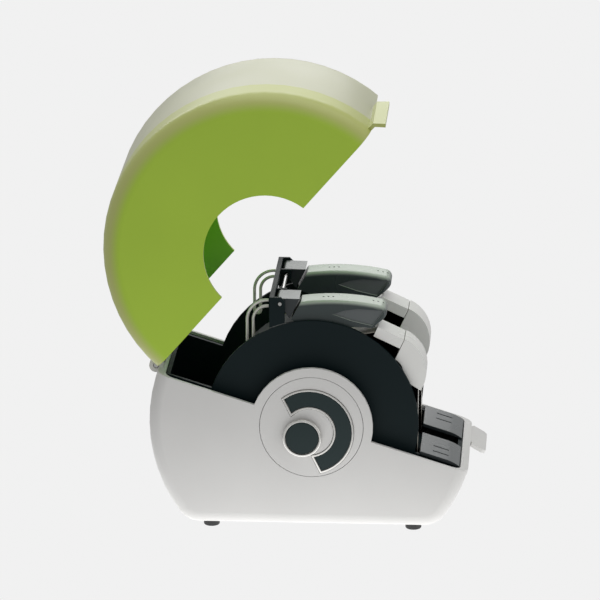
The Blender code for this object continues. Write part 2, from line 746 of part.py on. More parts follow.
def make_hand_wheel():
    face = -HALF_WIDTH
    back = face + WHEEL_THICKNESS
    wheel = disc("hand_wheel", (0, 0), WHEEL_RADIUS, face, back, WHITE, 48)
    boss_end = -LINER_HALF_WIDTH - FIT
    wheel = join(wheel, disc("boss", (0, 0), WHEEL_BOSS_RADIUS, back - MM, boss_end, WHITE, 24))
    pocket = slab("pocket", [crescent_outline(RIM_WIDTH + 2 * GAP)], face - MM, face + 1.2 * MM,
                  WHITE, cutters)
    stud_hole = disc("stud_hole", (THUMB_X, -THUMB_DROP), STUD_RADIUS + GAP, face - MM,
                     face + 2 * MM, WHITE, 20, cutters)
    axle_hole = disc("axle_hole", (0, 0), AXLE_RADIUS + GAP, face + 2 * MM, 0, WHITE, 20, cutters)
    wheel = cut(wheel, pocket, stud_hole, axle_hole)
    floor = face + 1.2 * MM - GAP
    slab("crescent_rim", [crescent_outline(RIM_WIDTH + GAP), crescent_outline(GAP)],
         face - RIM_PROUD, floor, CHROME)
    slab("crescent_inlay", [crescent_outline(0)], face - RIM_PROUD / 3, floor, DARK)
    make_thumb_knob(face)
    return wheel


def make_thumb_knob(face):
    centre = (THUMB_X, -THUMB_DROP)
    back = face - RIM_PROUD - GAP
    front = back - THUMB_THICKNESS
    ring_inner = THUMB_RADIUS - 1.4 * MM
    turned(
        "thumb_rim",
        [(ring_inner, front - GAP), (THUMB_RADIUS - GAP, front - GAP),
         (THUMB_RADIUS, front), (THUMB_RADIUS, back), (ring_inner, back)][::-1],
        centre, CHROME, 40,
    )
    knob = disc("thumb_knob", centre, ring_inner - GAP, front + GAP, back, DARK, 36)
    bore = disc("stud_bore", centre, STUD_RADIUS + GAP, back - 1.4 * MM, back + MM, DARK, 20, cutters)
    cut(knob, bore)
    disc("thumb_stud", centre, STUD_RADIUS, back - 1.4 * MM + GAP, face + 2 * MM - GAP, STEEL, 20)


# Axle, spools, rolls and drive.


def ring_profile(inner, outer, y_from, y_to):
    """A plain ring, in the order that turns into a surface facing out."""
    return [(inner, y_from), (inner, y_to), (outer, y_to), (outer, y_from)]


def make_axle():
    front = -HALF_WIDTH + 2 * MM + GAP
    disc("axle", (0, 0), AXLE_RADIUS, front, LINER_HALF_WIDTH + MM, STEEL, 24)
    for name, side in (("front", -1), ("rear", 1)):
        inner = AXLE_RADIUS + GAP
        outer = inner + BUSHING_WALL
        start, end = sorted((side * (LINER_HALF_WIDTH - LINER_WALL - 0.9 * MM),
                             side * LINER_HALF_WIDTH))
        turned(f"axle_bushing_{name}", ring_profile(inner, outer, start, end), (0, 0), GREY, 24)


def make_spool(name, side):
    centre = side * LANE_OFFSET
    half = TAPE_WIDTH / 2
    rim = CORE_RADIUS - GAP
    hub = AXLE_RADIUS + GAP
    outside = centre + side * half
    inside = centre - side * (half + SPOOL_WALL)
    profile = [
        (hub, outside),
        (hub + SPOOL_WALL, outside),
        (hub + SPOOL_WALL, inside + side * SPOOL_WALL),
        (rim - SPOOL_WALL, inside + side * SPOOL_WALL),
        (rim - SPOOL_WALL, outside),
        (rim, outside),
        (rim, inside + side * (SPOOL_WALL - GAP)),
        (SPOOL_FLANGE_RADIUS, inside + side * (SPOOL_WALL - GAP)),
        (SPOOL_FLANGE_RADIUS, inside),
        (hub, inside),
    ]
    if side < 0:
        profile.reverse()
    turned(f"spool_{name}", profile, (0, 0), GREY, 40)
    turned(f"tape_roll_{name}",
           ring_profile(CORE_RADIUS, ROLL_RADIUS, centre - half, centre + half), (0, 0), TAPE, 48)
    start, end = sorted((inside - side * GAP, inside - side * (GAP + WASHER_THICKNESS)))
    turned(f"felt_washer_{name}",
           ring_profile(AXLE_RADIUS + GAP, 3 * AXLE_RADIUS, start, end), (0, 0), FELT, 24)


def belt_loop(grow, steps=14):
    """The outline round both pulleys, outside their rims by grow."""
    span = Vector((FEED_X, FEED_Z))
    base_turn = math.atan2(span.y, span.x)
    lean = math.acos((DRIVE_PULLEY_RADIUS - FEED_PULLEY_RADIUS) / span.length)
    start = base_turn + lean
    end = base_turn - lean
    large = arc((0, 0), DRIVE_PULLEY_RADIUS + grow, start, end + 2 * math.pi, 2 * steps)
    small = arc((FEED_X, FEED_Z), FEED_PULLEY_RADIUS + grow, end, start, steps)
    return large + small


def make_drive():
    half = PULLEY_WIDTH / 2
    turned("drive_pulley",
           ring_profile(AXLE_RADIUS + GAP, DRIVE_PULLEY_RADIUS, -half, half), (0, 0), GREY, 36)
    turned("feed_pulley", ring_profile(FEED_SHAFT_RADIUS + GAP, FEED_PULLEY_RADIUS, -half, half),
           (FEED_X, FEED_Z), GREY, 24)
    slab("drive_belt", [belt_loop(GAP + BELT_THICKNESS), belt_loop(GAP)], -BELT_WIDTH / 2,
         BELT_WIDTH / 2, RUBBER)
    reach = LINER_HALF_WIDTH
    disc("feed_shaft", (FEED_X, FEED_Z), FEED_SHAFT_RADIUS, -reach, reach, STEEL, 16)
    for name, side in (("front", -1), ("rear", 1)):
        centre = side * LANE_OFFSET
        half = TAPE_WIDTH / 2 - MM
        turned(f"feed_roller_{name}",
               ring_profile(FEED_SHAFT_RADIUS + GAP, FEED_ROLLER_RADIUS, centre - half,
                            centre + half), (FEED_X, FEED_Z), RUBBER, 24)


def housing_outline(radius, shrink):
    """Half a drum over the axle, drawn out low on the exit side to take in the feed pulley."""
    floor = LINER_BOTTOM + LINER_FLOOR + GAP
    nose = FEED_X + FEED_PULLEY_RADIUS + 5 * MM - shrink
    shoulder = FEED_Z + FEED_PULLEY_RADIUS + 5 * MM - shrink
    low_right = math.asin((shoulder + 14 * MM) / radius)
    points = arc((0, 0), radius, low_right, math.pi - low_right, 24)
    points += [(-radius * 0.8, floor - shrink), (nose, floor - shrink), (nose, shoulder)]
    return points


def make_centre_housing():
    half = HOUSING_HALF_WIDTH
    housing = slab("centre_housing", [housing_outline(HOUSING_RADIUS, 0)], -half, half, BLACK)
    hollow = slab("hollow", [housing_outline(HOUSING_RADIUS - HOUSING_WALL, HOUSING_WALL)],
                  -half + HOUSING_WALL, half - HOUSING_WALL, BLACK, cutters)
    reach = half + MM
    return cut(
        housing,
        hollow,
        disc("axle_way", (0, 0), AXLE_RADIUS + FIT, -reach, reach, BLACK, 20, cutters),
        disc("feed_way", (FEED_X, FEED_Z), FEED_SHAFT_RADIUS + FIT, -reach, reach, BLACK, 16,
             cutters),
    )


# Bridge, covers, wires and guides over the lanes.


def make_bridge():
    outer = LINER_HALF_WIDTH
    inner = outer - BRIDGE_POST
    seat = ARCH_RADIUS + GAP
    left_seat = math.sqrt(seat**2 - BRIDGE_LEFT**2)
    right_seat = math.sqrt(seat**2 - BRIDGE_RIGHT**2)
    middle = (BRIDGE_LEFT + BRIDGE_RIGHT) / 2
    middle_seat = math.sqrt(seat**2 - middle**2) + GAP / 2
    side = [
        (BRIDGE_LEFT, left_seat + GAP),
        (middle, middle_seat),
        (BRIDGE_RIGHT, right_seat + GAP),
        (BRIDGE_RIGHT, BRIDGE_TOP - BRIDGE_CHAMFER),
        (BRIDGE_RIGHT - BRIDGE_CHAMFER, BRIDGE_TOP),
        (BRIDGE_LEFT, BRIDGE_TOP),
    ]
    bar = box_outline(BRIDGE_LEFT, BRIDGE_BAR_RIGHT, BRIDGE_TOP - BRIDGE_BAR_THICKNESS, BRIDGE_TOP)
    bridge = slab("bridge", [bar], -outer + MM, outer - MM, BLACK)
    for sign in (-1, 1):
        start, end = sorted((sign * inner, sign * outer))
        bridge = join(bridge, slab("post", [side], start, end, BLACK))
    lug_half = LANE_OFFSET - LANE_WIDTH / 2 - GAP
    lug_bottom = PIVOT_HEIGHT - PIVOT_BARREL_RADIUS
    for sign in (-1, 1):
        start, end = sorted((sign * lug_half, sign * (lug_half - BRIDGE_POST)))
        lug = box_outline(BRIDGE_LEFT, BRIDGE_RIGHT, lug_bottom, BRIDGE_TOP - MM)
        bridge = join(bridge, slab("lug", [lug], start, end, BLACK))
    reach = outer + MM
    return cut(bridge, disc("pin_bore", (PIVOT_X, PIVOT_HEIGHT), PIVOT_PIN_RADIUS + GAP, -reach,
                            reach, BLACK, 16, cutters))


def wedge_outline():
    """The V-shaped arm that carries a cover, with a barrel round the pivot pin."""
    barrel = arc((PIVOT_X, PIVOT_HEIGHT), PIVOT_BARREL_RADIUS, math.radians(75), math.radians(290), 10)
    return barrel + [(-14.2 * MM, 66.4 * MM), (-8.0 * MM, 79.0 * MM)]


def cover_outline():
    """The roll cover from its V joint to its rounded nose over the sleeve."""
    top = arc((13.0 * MM, -62.0 * MM), 140.2 * MM, math.radians(78.2), math.radians(98.3), 10)
    nose = arc((40.9 * MM, 70.6 * MM), 4.8 * MM, math.radians(-35.0), math.radians(65.0), 5)
    return [(-13.3 * MM, 65.9 * MM), (-4.0 * MM, 62.4 * MM), (36.8 * MM, 61.4 * MM)] + nose + top


def cover_hollow():
    """The space under the cover, open towards the roll."""
    top = arc((13.0 * MM, -62.0 * MM), 140.2 * MM - COVER_WALL, math.radians(79.5),
              math.radians(96.5), 8)
    return [(-9.0 * MM, 58.0 * MM), (33.0 * MM, 58.0 * MM)] + top


def leaf_outline():
    """The pointed recess in the side of a cover."""
    upper = [(12.5 * MM, 69.6 * MM), (19.8 * MM, 72.2 * MM), (28.0 * MM, 73.3 * MM),
             (44.5 * MM, 72.4 * MM)]
    lower = [(37.0 * MM, 62.6 * MM), (24.0 * MM, 65.6 * MM)]
    return (upper + lower)[::-1]


def on_cover_top(a, b):
    """Chooses the side edges of a cover's top, from the V joint to the end of its nose."""
    start, end = cover_outline()[-1], cover_outline()[3]
    along_side = abs(a.y - b.y) < GAP / 2
    after_start = min(a.x, b.x) > start[0] - GAP
    over_end = min(a.z, b.z) > AXIS_HEIGHT + end[1] - GAP
    return along_side and after_start and over_end


def make_cover(name, side):
    centre = side * LANE_OFFSET
    half = LANE_WIDTH / 2
    cover = slab(f"roll_cover_{name}", [cover_outline()], centre - half, centre + half, SMOKE)
    cover = round_edges(cover, COVER_ROUND, 3, on_cover_top)
    inside = half - COVER_WALL
    cover = cut(cover, slab("hollow", [cover_hollow()], centre - inside, centre + inside, SMOKE,
                            cutters))
    for sign in (-1, 1):
        face = centre + sign * half
        leaf = slab("leaf", [leaf_outline()], face - LEAF_DEPTH, face + LEAF_DEPTH, SMOKE, cutters)
        cover = cut(cover, leaf)
    wedge = slab(f"cover_wedge_{name}", [wedge_outline()], centre - half + GAP, centre + half - GAP,
                 SMOKE)
    cut(wedge, disc("bore", (PIVOT_X, PIVOT_HEIGHT), PIVOT_PIN_RADIUS + GAP, centre - LANE_WIDTH,
                    centre + LANE_WIDTH, SMOKE, 16, cutters))
    pivot = bpy.data.objects.new(f"cover_axis_{name}", None)
    parts.objects.link(pivot)
    pivot.location = (PIVOT_X, centre, PIVOT_HEIGHT + AXIS_HEIGHT)
    bpy.context.view_layer.update()
    for piece in (cover.name, f"cover_wedge_{name}"):
        bpy.data.objects[piece].parent = pivot
        bpy.data.objects[piece].matrix_parent_inverse = pivot.matrix_world.inverted()


def rod(name, points, radius, material, cyclic=False):
    curve = bpy.data.curves.new(name, "CURVE")
    curve.dimensions = "3D"
    curve.bevel_depth = radius
    curve.bevel_resolution = 2
    curve.use_fill_caps = True
    spline = curve.splines.new("POLY")
    spline.points.add(len(points) - 1)
    spline.use_cyclic_u = cyclic
    for point, co in zip(spline.points, points):
        point.co = (*co, 1)
    obj = bpy.data.objects.new(name, curve)
    place(obj, material)
    return settled(obj)


def make_wire(name, side):
    """One wire bent into a hairpin: out of the bridge, round and down, and back on the inside."""
    bend = Vector((-28.4 * MM, 62.6 * MM))
    outer = 12.6 * MM
    inner = outer - WIRE_SPREAD
    foot = 49.0 * MM
    shoulder = BRIDGE_LEFT - GAP - WIRE_RADIUS
    path = [(shoulder, bend.y + outer)]
    path += arc(bend, outer, math.radians(88), math.radians(180), 8)
    turn = (bend.x - (outer + inner) / 2, foot)
    path += arc(turn, WIRE_SPREAD / 2, math.pi, 2 * math.pi, 6)
    path += arc(bend, inner, math.radians(180), math.radians(88), 8)
    path += [(shoulder, bend.y + inner)]
    points = [(x, side * LANE_OFFSET, z + AXIS_HEIGHT) for x, z in path]
    rod(f"wire_guard_{name}", points, WIRE_RADIUS, STEEL)


def sleeve_frame():
    along = Vector((math.cos(SLEEVE_SLOPE), math.sin(SLEEVE_SLOPE)))
    across = Vector((-along.y, along.x))
    return Vector(SLEEVE_START), along, across


def make_sleeve(name, side):
    start, along, across = sleeve_frame()
    half = SLEEVE_THICKNESS / 2
    end = start + along * SLEEVE_LENGTH
    corners = [start - across * half, end - across * half, end + across * half, start + across * half]
    centre = side * LANE_OFFSET
    width = LANE_WIDTH / 2
    sleeve = slab(f"guide_sleeve_{name}", [[(p.x, p.y) for p in corners]], centre - width,
                  centre + width, CLEAR)
    inside = half - SLEEVE_WALL
    before = start - along * MM
    after = end + along * MM
    hole = [before - across * inside, after - across * inside, after + across * inside,
            before + across * inside]
    passage = slab("passage", [[(p.x, p.y) for p in hole]], centre - width + SLEEVE_WALL,
                   centre + width - SLEEVE_WALL, CLEAR, cutters)
    return cut(sleeve, passage)


def guide_centre_line():
    """The centre and the first and last angle of the guide that bends the tape downwards."""
    start, along, across = sleeve_frame()
    mouth = start + along * (SLEEVE_LENGTH + GAP)
    return mouth - across * GUIDE_RADIUS, math.atan2(across.y, across.x), GUIDE_LAST_TURN


def make_guide(name, side):
    centre, first, last = guide_centre_line()
    outer = GUIDE_RADIUS + GUIDE_OUTSIDE
    inner = GUIDE_RADIUS - GUIDE_INSIDE
    outline = arc(centre, outer, first, last, 12) + arc(centre, inner, last, first, 12)
    lane = side * LANE_OFFSET
    width = LANE_WIDTH / 2
    guide = slab(f"guide_{name}", [outline], lane - width, lane + width, CLEAR)
    before = first + 0.06
    after = last - 0.06
    hollow = arc(centre, outer - GUIDE_WALL, before, after, 12)
    hollow += arc(centre, inner + GUIDE_WALL, after, before, 12)
    passage = slab("passage", [hollow], lane - width + SLEEVE_WALL, lane + width - SLEEVE_WALL,
                   CLEAR, cutters)
    return cut(guide, passage)


def make_strand(name, side):
    """The loose tape from the roll through sleeve and guide down to the feed roller."""
    start, along, _ = sleeve_frame()
    leave = ROLL_RADIUS + GAP + TAPE_THICKNESS
    target = start
    turn = math.atan2(target.y, target.x) + math.acos(leave / target.length)
    line = [Vector((leave * math.cos(turn), leave * math.sin(turn))), target + along * MM]
    centre, first, _ = guide_centre_line()
    curve = arc(centre, GUIDE_RADIUS - STRAND_INSIDE, first, STRAND_LAST_TURN, 8)
    line += [Vector(point) for point in curve]
    line += [Vector((tape_drop_x(), STRAND_STRAIGHT_FROM)), Vector((tape_drop_x(), FEED_Z))]
    left, right = [], []
    for i, point in enumerate(line):
        before = line[max(i - 1, 0)]
        after = line[min(i + 1, len(line) - 1)]
        heading = (after - before).normalized()
        across = Vector((-heading.y, heading.x)) * TAPE_THICKNESS / 2
        left.append((point + across)[:])
        right.append((point - across)[:])
    half = TAPE_WIDTH / 2
    centre = side * LANE_OFFSET
    slab(f"tape_strand_{name}", [left + right[::-1]], centre - half, centre + half, TAPE)


# Exit heads.


def head_top(steps=6):
    """The top of a head along the parting plane: level first, then falling away at the end."""
    fall_start = HEAD_CAP_END - 9.0 * MM
    points = [(HEAD_START, HEAD_CAP_THICKNESS), (fall_start, HEAD_CAP_THICKNESS)]
    for i in range(1, steps + 1):
        share = i / steps
        points.append((fall_start + 9.0 * MM * share, HEAD_CAP_THICKNESS - 1.6 * MM * share**2))
    return points


def make_head(name, side):
    centre = side * LANE_OFFSET
    low = -LINER_SINK + GAP
    top = head_top()
    cap = [along_parting(*p) for p in [(HEAD_START, low), (HEAD_CAP_END, low)] + top[::-1]]
    cap_from, cap_to = sorted((side * HEAD_CAP_NEAR, side * HEAD_CAP_FAR))
    head = slab(f"exit_head_{name}", [cap], cap_from, cap_to, SMOKE)
    wall = 2.0 * MM
    body = parting_box(HEAD_START + HEAD_STEP, HEAD_END - FIT, -HEAD_DEPTH, low + MM)
    head = join(head, slab("body", [body], centre - HEAD_BODY_HALF, centre + HEAD_BODY_HALF, SMOKE))
    hollow = parting_box(
        HEAD_START + HEAD_STEP + wall, HEAD_END - FIT - wall, -HEAD_DEPTH - MM, low - MM
    )
    inside = HEAD_BODY_HALF - wall
    head = cut(head, slab("hollow", [hollow], centre - inside, centre + inside, SMOKE, cutters))
    for sign in (-1, 1):
        slot = parting_box(HEAD_START + 8 * MM, HEAD_END - 5 * MM, -2 * HEAD_DEPTH, 5 * MM)
        y = centre + sign * SLOT_OFFSET
        head = cut(head, slab("slot", [slot], y - SLOT_WIDTH / 2, y + SLOT_WIDTH / 2, SMOKE, cutters))
    turn = Matrix.Rotation(PARTING_TILT, 4, "Y")
    half_blade = BLADE_THICKNESS / 2
    strip = plan_slab(f"cutter_blade_{name}", [blade_outline(centre)], -half_blade, half_blade, STEEL)
    seat = along_parting(0, blade_rise())
    strip.data.transform(Matrix.Translation((seat[0], 0, seat[1] + AXIS_HEIGHT)) @ turn)


def blade_rise():
    return -HEAD_DEPTH - GAP - BLADE_THICKNESS / 2


def tape_drop_x():
    """Where the tape hangs straight down, just clear of the feed roller."""
    return FEED_X + FEED_ROLLER_RADIUS + GAP + TAPE_THICKNESS


def blade_outline(centre):
    """A toothed strip under the head, its teeth towards the hanging tape."""
    reach = tape_drop_x() + BLADE_CLEARANCE
    tip = (reach - NORMAL.x * (PARTING_RISE + blade_rise())) / DIRECTION.x
    half = TAPE_WIDTH / 2
    pitch = TAPE_WIDTH / TEETH
    outline = [(tip + BLADE_DEPTH, centre - half), (tip + BLADE_DEPTH, centre + half)]
    for i in range(TEETH):
        y = centre + half - i * pitch
        outline += [(tip + TOOTH_DEPTH, y), (tip, y - pitch / 2)]
    outline.append((tip + TOOTH_DEPTH, centre - half))
    return outline


def make_lanes():
    for name, side in (("front", -1), ("rear", 1)):
        make_spool(name, side)
        make_cover(name, side)
        make_wire(name, side)
        make_sleeve(name, side)
        make_guide(name, side)
        make_strand(name, side)
        make_head(name, side)


def main():
    make_base()
    make_feet()
    make_screws()
    make_ballast()
    make_liner()
    hang_lid(make_lid())
    pin_reach = BASE_KNUCKLE_FAR - FIT
    disc("hinge_pin", HINGE, HINGE_PIN_RADIUS, -pin_reach, pin_reach, STEEL, 16)
    make_hand_wheel()
    make_axle()
    make_drive()
    make_centre_housing()
    make_bridge()
    reach = LINER_HALF_WIDTH - GAP
    disc("cover_pin", (PIVOT_X, PIVOT_HEIGHT), PIVOT_PIN_RADIUS, -reach, reach, STEEL, 16)
    make_lanes()


main()
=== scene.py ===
# %% [markdown]
# # A drum-shaped tape dispenser, dressed for a studio picture
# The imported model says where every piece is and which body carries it. This lesson keeps those
# places and gives each piece its finished surface: softened edges, fine moulded grain, drilled
# vents, bent wire and a studio to see them in. Every cell explains one step before it is taken.

# %% Load the fixed frame
import json
import math

import bmesh
import bpy
from mathutils import Matrix, Vector

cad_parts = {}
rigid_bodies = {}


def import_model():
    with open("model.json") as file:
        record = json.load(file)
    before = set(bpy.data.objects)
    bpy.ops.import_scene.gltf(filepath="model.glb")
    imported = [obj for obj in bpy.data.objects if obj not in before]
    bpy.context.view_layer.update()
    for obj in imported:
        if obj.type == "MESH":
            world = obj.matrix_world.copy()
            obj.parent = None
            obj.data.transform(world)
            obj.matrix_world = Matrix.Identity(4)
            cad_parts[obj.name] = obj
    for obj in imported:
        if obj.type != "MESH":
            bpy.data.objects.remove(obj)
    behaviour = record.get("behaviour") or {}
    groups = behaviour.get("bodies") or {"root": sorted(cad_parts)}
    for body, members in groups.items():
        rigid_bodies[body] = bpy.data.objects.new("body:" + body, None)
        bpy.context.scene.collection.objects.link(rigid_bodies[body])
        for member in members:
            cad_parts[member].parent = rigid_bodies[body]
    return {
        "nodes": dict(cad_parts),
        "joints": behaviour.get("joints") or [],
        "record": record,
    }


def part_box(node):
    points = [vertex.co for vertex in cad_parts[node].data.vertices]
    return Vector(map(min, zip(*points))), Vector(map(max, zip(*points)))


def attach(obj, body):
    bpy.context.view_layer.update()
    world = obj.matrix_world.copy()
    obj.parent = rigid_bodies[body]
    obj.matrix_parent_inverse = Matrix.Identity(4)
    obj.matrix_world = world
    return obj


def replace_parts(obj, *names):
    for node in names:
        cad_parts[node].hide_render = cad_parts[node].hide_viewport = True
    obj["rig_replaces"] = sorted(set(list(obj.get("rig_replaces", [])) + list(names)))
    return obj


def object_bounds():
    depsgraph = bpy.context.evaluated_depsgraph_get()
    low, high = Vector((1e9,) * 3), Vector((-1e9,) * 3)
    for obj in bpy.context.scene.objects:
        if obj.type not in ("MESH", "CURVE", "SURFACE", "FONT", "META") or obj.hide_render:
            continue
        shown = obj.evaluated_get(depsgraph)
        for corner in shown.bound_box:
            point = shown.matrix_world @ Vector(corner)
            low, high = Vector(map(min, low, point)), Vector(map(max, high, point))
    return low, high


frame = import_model()
cad_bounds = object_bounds()
MM = 0.001
BODY_OF = {
    node: body for body, nodes in frame["record"]["behaviour"]["bodies"].items() for node in nodes
}
SLOT_OF = {part["node"]: part["material_slot"] for part in frame["record"]["subparts"]}
JOINTS = {joint["name"]: joint for joint in frame["joints"]}

# %% [markdown]
# ## Reference lines
# The drum turns about one axis, and the lid was shaped round the same axis before it was opened.
# The axle's box gives the axis, and turning it about the hinge gives the axis of the open lid.


# %% Find the drum's axis and the open lid's axis
def middle(node):
    low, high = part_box(node)
    return (low + high) / 2


DRUM_AXIS = middle("axle")
DRUM_AXIS.y = 0
HINGE = Vector(JOINTS["lid_hinge"]["pos_m"])
OPEN_TURN = -math.radians(JOINTS["lid_hinge"]["range_deg"][0])
LID_AXIS = HINGE + Matrix.Rotation(-OPEN_TURN, 3, "Y") @ (DRUM_AXIS - HINGE)
HALF_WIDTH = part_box("base_shell")[1].y
LID_EDGE = 12.0 * MM
LID_RADIUS = 101.0 * MM
FLOOR_HEIGHT = cad_bounds[0][2]
print("lid axis at", [round(value, 4) for value in LID_AXIS])

# %% [markdown]
# ## Shared surface effects
# Moulded plastic is never one even sheen. A very fine grain comes from the spark-eroded mould,
# and broad soft patches come from handling. Both are used by many finishes, so they are made
# once, as a node group with named sockets, and each finish sets its own amounts.


# %% Small helpers for node trees
def join_up(tree, source, target):
    tree.links.new(source, target)


def add_node(tree, kind, **settings):
    node = tree.nodes.new(kind)
    for name, value in settings.items():
        setattr(node, name, value)
    return node


def maths(tree, operation, first, second=None, clamp=False):
    node = add_node(tree, "ShaderNodeMath", operation=operation, use_clamp=clamp)
    for socket, value in zip(node.inputs, (first, second)):
        if value is None:
            continue
        if isinstance(value, (int, float)):
            socket.default_value = value
        else:
            join_up(tree, value, socket)
    return node.outputs[0]


def new_group(name, numbers_in, out):
    """A shader group: numbers_in is {name: default}, out is {name: socket kind}."""
    tree = bpy.data.node_groups.new(name, "ShaderNodeTree")
    for label, default in numbers_in.items():
        socket = tree.interface.new_socket(name=label, in_out="INPUT",
                                           socket_type="NodeSocketFloat")
        socket.default_value = default
    for label, kind in out.items():
        tree.interface.new_socket(name=label, in_out="OUTPUT", socket_type=kind)
    entry = add_node(tree, "NodeGroupInput")
    leave = add_node(tree, "NodeGroupOutput")
    return tree, entry.outputs, leave.inputs


def smooth_step(tree, value, low, high):
    node = add_node(tree, "ShaderNodeMapRange", interpolation_type="SMOOTHSTEP")
    join_up(tree, value, node.inputs["Value"])
    node.inputs["From Min"].default_value = low
    node.inputs["From Max"].default_value = high
    return node.outputs["Result"]


# %% Grain and handling marks, one group for every moulded finish
def grain_group():
    numbers = {"Grain scale": 1500.0, "Sheen low": 0.3, "Sheen high": 0.45, "Mark scale": 18.0}
    kinds = {
        "Roughness": "NodeSocketFloat",
        "Height": "NodeSocketFloat",
        "Shade": "NodeSocketFloat",
    }
    tree, given, wanted = new_group("moulded_surface", numbers, kinds)
    place = add_node(tree, "ShaderNodeTexCoord").outputs["Object"]
    fine = add_node(tree, "ShaderNodeTexNoise")
    broad = add_node(tree, "ShaderNodeTexNoise")
    fine.inputs["Detail"].default_value = 2.0
    broad.inputs["Detail"].default_value = 4.0
    for noise, scale in ((fine, "Grain scale"), (broad, "Mark scale")):
        join_up(tree, place, noise.inputs["Vector"])
        join_up(tree, given[scale], noise.inputs["Scale"])
    blend = add_node(tree, "ShaderNodeMapRange")
    join_up(tree, broad.outputs["Fac"], blend.inputs["Value"])
    blend.inputs["From Min"].default_value = 0.3
    blend.inputs["From Max"].default_value = 0.7
    join_up(tree, given["Sheen low"], blend.inputs["To Min"])
    join_up(tree, given["Sheen high"], blend.inputs["To Max"])
    join_up(tree, blend.outputs["Result"], wanted["Roughness"])
    join_up(tree, fine.outputs["Fac"], wanted["Height"])
    shade = add_node(tree, "ShaderNodeMapRange")
    join_up(tree, broad.outputs["Fac"], shade.inputs["Value"])
    shade.inputs["To Min"].default_value = 0.93
    shade.inputs["To Max"].default_value = 1.04
    join_up(tree, shade.outputs["Result"], wanted["Shade"])
    return tree


GRAIN = grain_group()
print("group:", GRAIN.name, [item.name for item in GRAIN.interface.items_tree])

# %% [markdown]
# ## Finishes
# Each finish is one Principled shader. The grain group feeds its roughness, its bump and a slight
# change of shade. What is the same all over, such as how metallic it is, is set on the shader.


# %% Make one finish, and tint it
def new_finish(name, roughness, metallic=0.0, grain=1500.0, bump=0.05, marks=18.0, **constants):
    """Returns the material with its shader and grain node; roughness is a (low, high) pair."""
    material = bpy.data.materials.new(name)
    material.use_nodes = True
    tree = material.node_tree
    shader = tree.nodes["Principled BSDF"]
    shader.inputs["Metallic"].default_value = metallic
    for socket, value in constants.items():
        shader.inputs[socket.replace("_", " ")].default_value = value
    surface = add_node(tree, "ShaderNodeGroup", node_tree=GRAIN)
    surface.inputs["Grain scale"].default_value = grain
    surface.inputs["Mark scale"].default_value = marks
    surface.inputs["Sheen low"].default_value = roughness[0]
    surface.inputs["Sheen high"].default_value = roughness[1]
    join_up(tree, surface.outputs["Roughness"], shader.inputs["Roughness"])
    relief = add_node(tree, "ShaderNodeBump")
    relief.inputs["Strength"].default_value = bump
    relief.inputs["Distance"].default_value = 0.1 * MM
    join_up(tree, surface.outputs["Height"], relief.inputs["Height"])
    join_up(tree, relief.outputs["Normal"], shader.inputs["Normal"])
    return material, shader, surface


def mix_colours(tree, share, first, second, blend_type="MIX"):
    node = add_node(tree, "ShaderNodeMix", data_type="RGBA", blend_type=blend_type)
    sockets = (node.inputs[0], node.inputs[6], node.inputs[7])
    for socket, value in zip(sockets, (share, first, second)):
        if isinstance(value, tuple):
            socket.default_value = (*value, 1.0)
        elif isinstance(value, float):
            socket.default_value = value
        else:
            join_up(tree, value, socket)
    return node.outputs[2]


def tint(material, shader, surface, colour):
    """The colour, made a little lighter and darker by the broad marks."""
    tree = material.node_tree
    join_up(tree, mix_colours(tree, 1.0, colour, surface.outputs["Shade"], "MULTIPLY"),
            shader.inputs["Base Color"])
    return material


def plain_finish(name, colour, roughness, **more):
    return tint(*new_finish(name, roughness, **more), colour)


# %% The simple finishes
FINISH = {
    "white_plastic": plain_finish("white_plastic", (0.70, 0.695, 0.68), (0.38, 0.5),
                                  Specular_IOR_Level=0.35),
    "black_plastic": plain_finish("black_plastic", (0.0045, 0.0120, 0.0138), (0.42, 0.55),
                                  bump=0.12, Specular_IOR_Level=0.16),
    "dark_inlay": plain_finish("dark_inlay", (0.013, 0.027, 0.028), (0.35, 0.5),
                               Specular_IOR_Level=0.3),
    "clear_plastic": plain_finish("clear_plastic", (0.93, 0.93, 0.90), (0.2, 0.32), bump=0.015,
                                  Transmission_Weight=0.06, IOR=1.4),
    "chrome": plain_finish("chrome", (0.86, 0.85, 0.82), (0.06, 0.12), metallic=1.0, bump=0.004),
    "bright_wire": plain_finish("bright_wire", (0.94, 0.92, 0.86), (0.24, 0.36), metallic=0.35,
                                bump=0.004),
    "steel": plain_finish("steel", (0.60, 0.60, 0.59), (0.22, 0.34), metallic=1.0, bump=0.02),
    "rubber": plain_finish("rubber", (0.035, 0.036, 0.036), (0.7, 0.85), bump=0.3, grain=900.0),
    "grey_plastic": plain_finish("grey_plastic", (0.30, 0.31, 0.31), (0.35, 0.5), bump=0.08),
    "felt": plain_finish("felt", (0.20, 0.20, 0.19), (0.85, 0.98), bump=0.9, grain=2600.0),
}
print("finishes:", ", ".join(sorted(FINISH)))

# %% [markdown]
# ## The lid's lime plastic
# Translucent plastic looks different where light can enter it from more sides, and here that light
# is painted into the lid's colour. The flat sides are a full green. The rounded rim gets a painted
# pale highlight, which is warmer in a band beside the hand wheel and on the tab. The cut edges get
# a painted glow, and the inside gets a painted deeper-green shade. Distance inward from the drum's
# rounded outline and the place across the drum tell these apart, so the mask works from the lid's
# own coordinates and stays on the lid when it swings.


# %% A mask group for the lid's painted light
BAND_WIDTH = 30 * MM
RIM_START, RIM_END = 11 * MM, 3.5 * MM
LID_WALL = 2.3 * MM
SKIN = 0.35 * MM
TAB_START = 0.6 * MM


